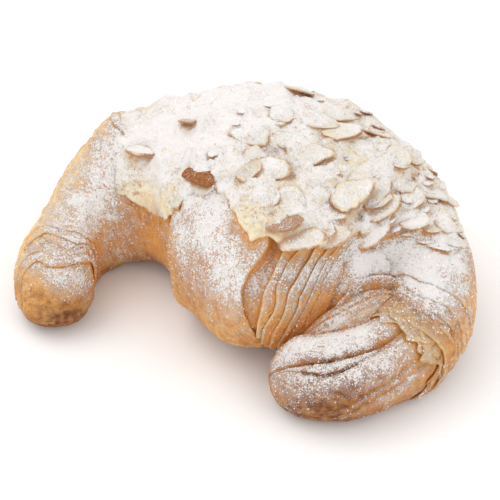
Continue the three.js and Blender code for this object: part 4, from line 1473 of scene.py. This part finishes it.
# Making the pieces.
dough, lip_distance, streak_places = rolled_dough()
cream = almond_cream()
draw = np.random.default_rng(DRAW_SEED)
all_flakes = SHOWN_FLAKES + strewn_flakes()
flakes, flake_rims_and_shade, flake_skins = almond_flakes("almond_flakes", all_flakes, FLAKE_MESH, draw)
bits, bit_rims_and_shade, bit_skins = almond_flakes("almond_bits", strewn_bits(draw), BIT_MESH, draw)
dusted = (dough, cream, flakes, bits)
for piece in dusted:
    smooth_faces(piece.data, DUSTING[piece.name][0])

# Dusting them with sugar.
all_places = np.vstack([vertex_places(piece.data) for piece in dusted]) / MM
all_normals = np.vstack([vertex_normals(piece.data) for piece in dusted])
cloud = surface_cloud(dusted)
all_open = open_share(all_places, all_normals, cloud, sift_directions())
all_shelter = 1 - open_share(all_places, all_normals, cloud, ball_directions(SHELTER_DIRECTIONS))
first = 0
grain_spots = []
for piece in dusted:
    _, least, grain_count = DUSTING[piece.name]
    own = slice(first, first + len(piece.data.vertices))
    first = own.stop
    places = all_places[own]
    normals = all_normals[own]
    load = sugar_load(all_open[own], places, normals, least)
    shelter = all_shelter[own]
    if piece is flakes:
        load = FLAKE_SUGAR * load * (1 - SKIN_BARE * flake_skins) * (1 - RIM_BARE * flake_rims_and_shade)
    if piece is dough:
        # The hollows add to the shelter, which paints their crust brighter orange, partly as painted light.
        hollow = place_share(places, HOLLOWS)
        shelter = shelter + hollow
        load = load * np.clip(1 - HOLLOW_SUGAR * hollow, 0, 1)
        keep_values(piece.data, "bake", baked_and_shaded_share(places, normals))
        keep_values(piece.data, "pale", np.clip(place_share(places, PALE_AND_LIT_PLACES), 0, 1))
    keep_values(piece.data, "sugar", load)
    keep_values(piece.data, "shelter", shelter)
    grain_spots.append(surface_spots(piece.data, load**GRAIN_ODDS, grain_count, draw))
keep_values(dough.data, "lip", lip_distance)
keep_values(dough.data, "streak", streak_places)
keep_values(flakes.data, "rim", flake_rims_and_shade)
keep_values(flakes.data, "skin", flake_skins)
keep_values(bits.data, "rim", bit_rims_and_shade)
keep_values(bits.data, "skin", bit_skins)
sugar_grains = grains("sugar_grains", np.vstack(grain_spots), draw)
smooth_faces(sugar_grains.data, GRAIN_SMOOTH)

sugar_group = icing_sugar_group()
dough.data.materials.append(dough_material(sugar_group))
cream.data.materials.append(cream_material(sugar_group))
almond = flake_material(sugar_group)
flakes.data.materials.append(almond)
bits.data.materials.append(almond)
sugar_grains.data.materials.append(sugar_material())

for piece in (dough, cream, flakes, bits, sugar_grains):
    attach(piece, "root")
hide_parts("croissant")
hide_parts("almond_crust")
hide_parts("almond_crust")
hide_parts("almond_crust")


# Floor, camera and light.
def look_along(direction):
    return direction.to_track_quat("-Z", "Y").to_euler()


def add_camera():
    data = bpy.data.cameras.new("camera")
    data.sensor_width = SENSOR_WIDTH
    data.lens = LENS
    data.clip_start = CLIP_START
    camera = add_object("camera", data)
    camera.location = AIM + TO_CAMERA * DISTANCE
    camera.rotation_euler = look_along(-TO_CAMERA)
    bpy.context.scene.camera = camera


def add_softbox(name, right, back, up, size, power, colour):
    data = bpy.data.lights.new(name, "AREA")
    data.shape = "DISK"
    data.size = size
    data.energy = power
    data.color = colour
    light = add_object(name, data)
    place = TO_RIGHT * right + TO_BACK * back + UP * up
    light.location = AIM + place
    light.rotation_euler = look_along(-place)


def add_floor():
    shape = bmesh.new()
    bmesh.ops.create_grid(shape, x_segments=1, y_segments=1, size=FLOOR_HALF)
    floor = add_shape("floor", shape)
    floor.data.materials.append(floor_material())


def set_sky(strength):
    world = bpy.data.worlds.new("studio")
    world.use_nodes = True
    background = world.node_tree.nodes["Background"]
    background.inputs["Color"].default_value = (1, 1, 1, 1)
    background.inputs["Strength"].default_value = strength
    bpy.context.scene.world = world


add_camera()
add_floor()
set_sky(SKY_STRENGTH)
for name, softbox in SOFTBOXES.items():
    add_softbox(name, *softbox)
bpy.context.scene.view_settings.view_transform = "Standard"
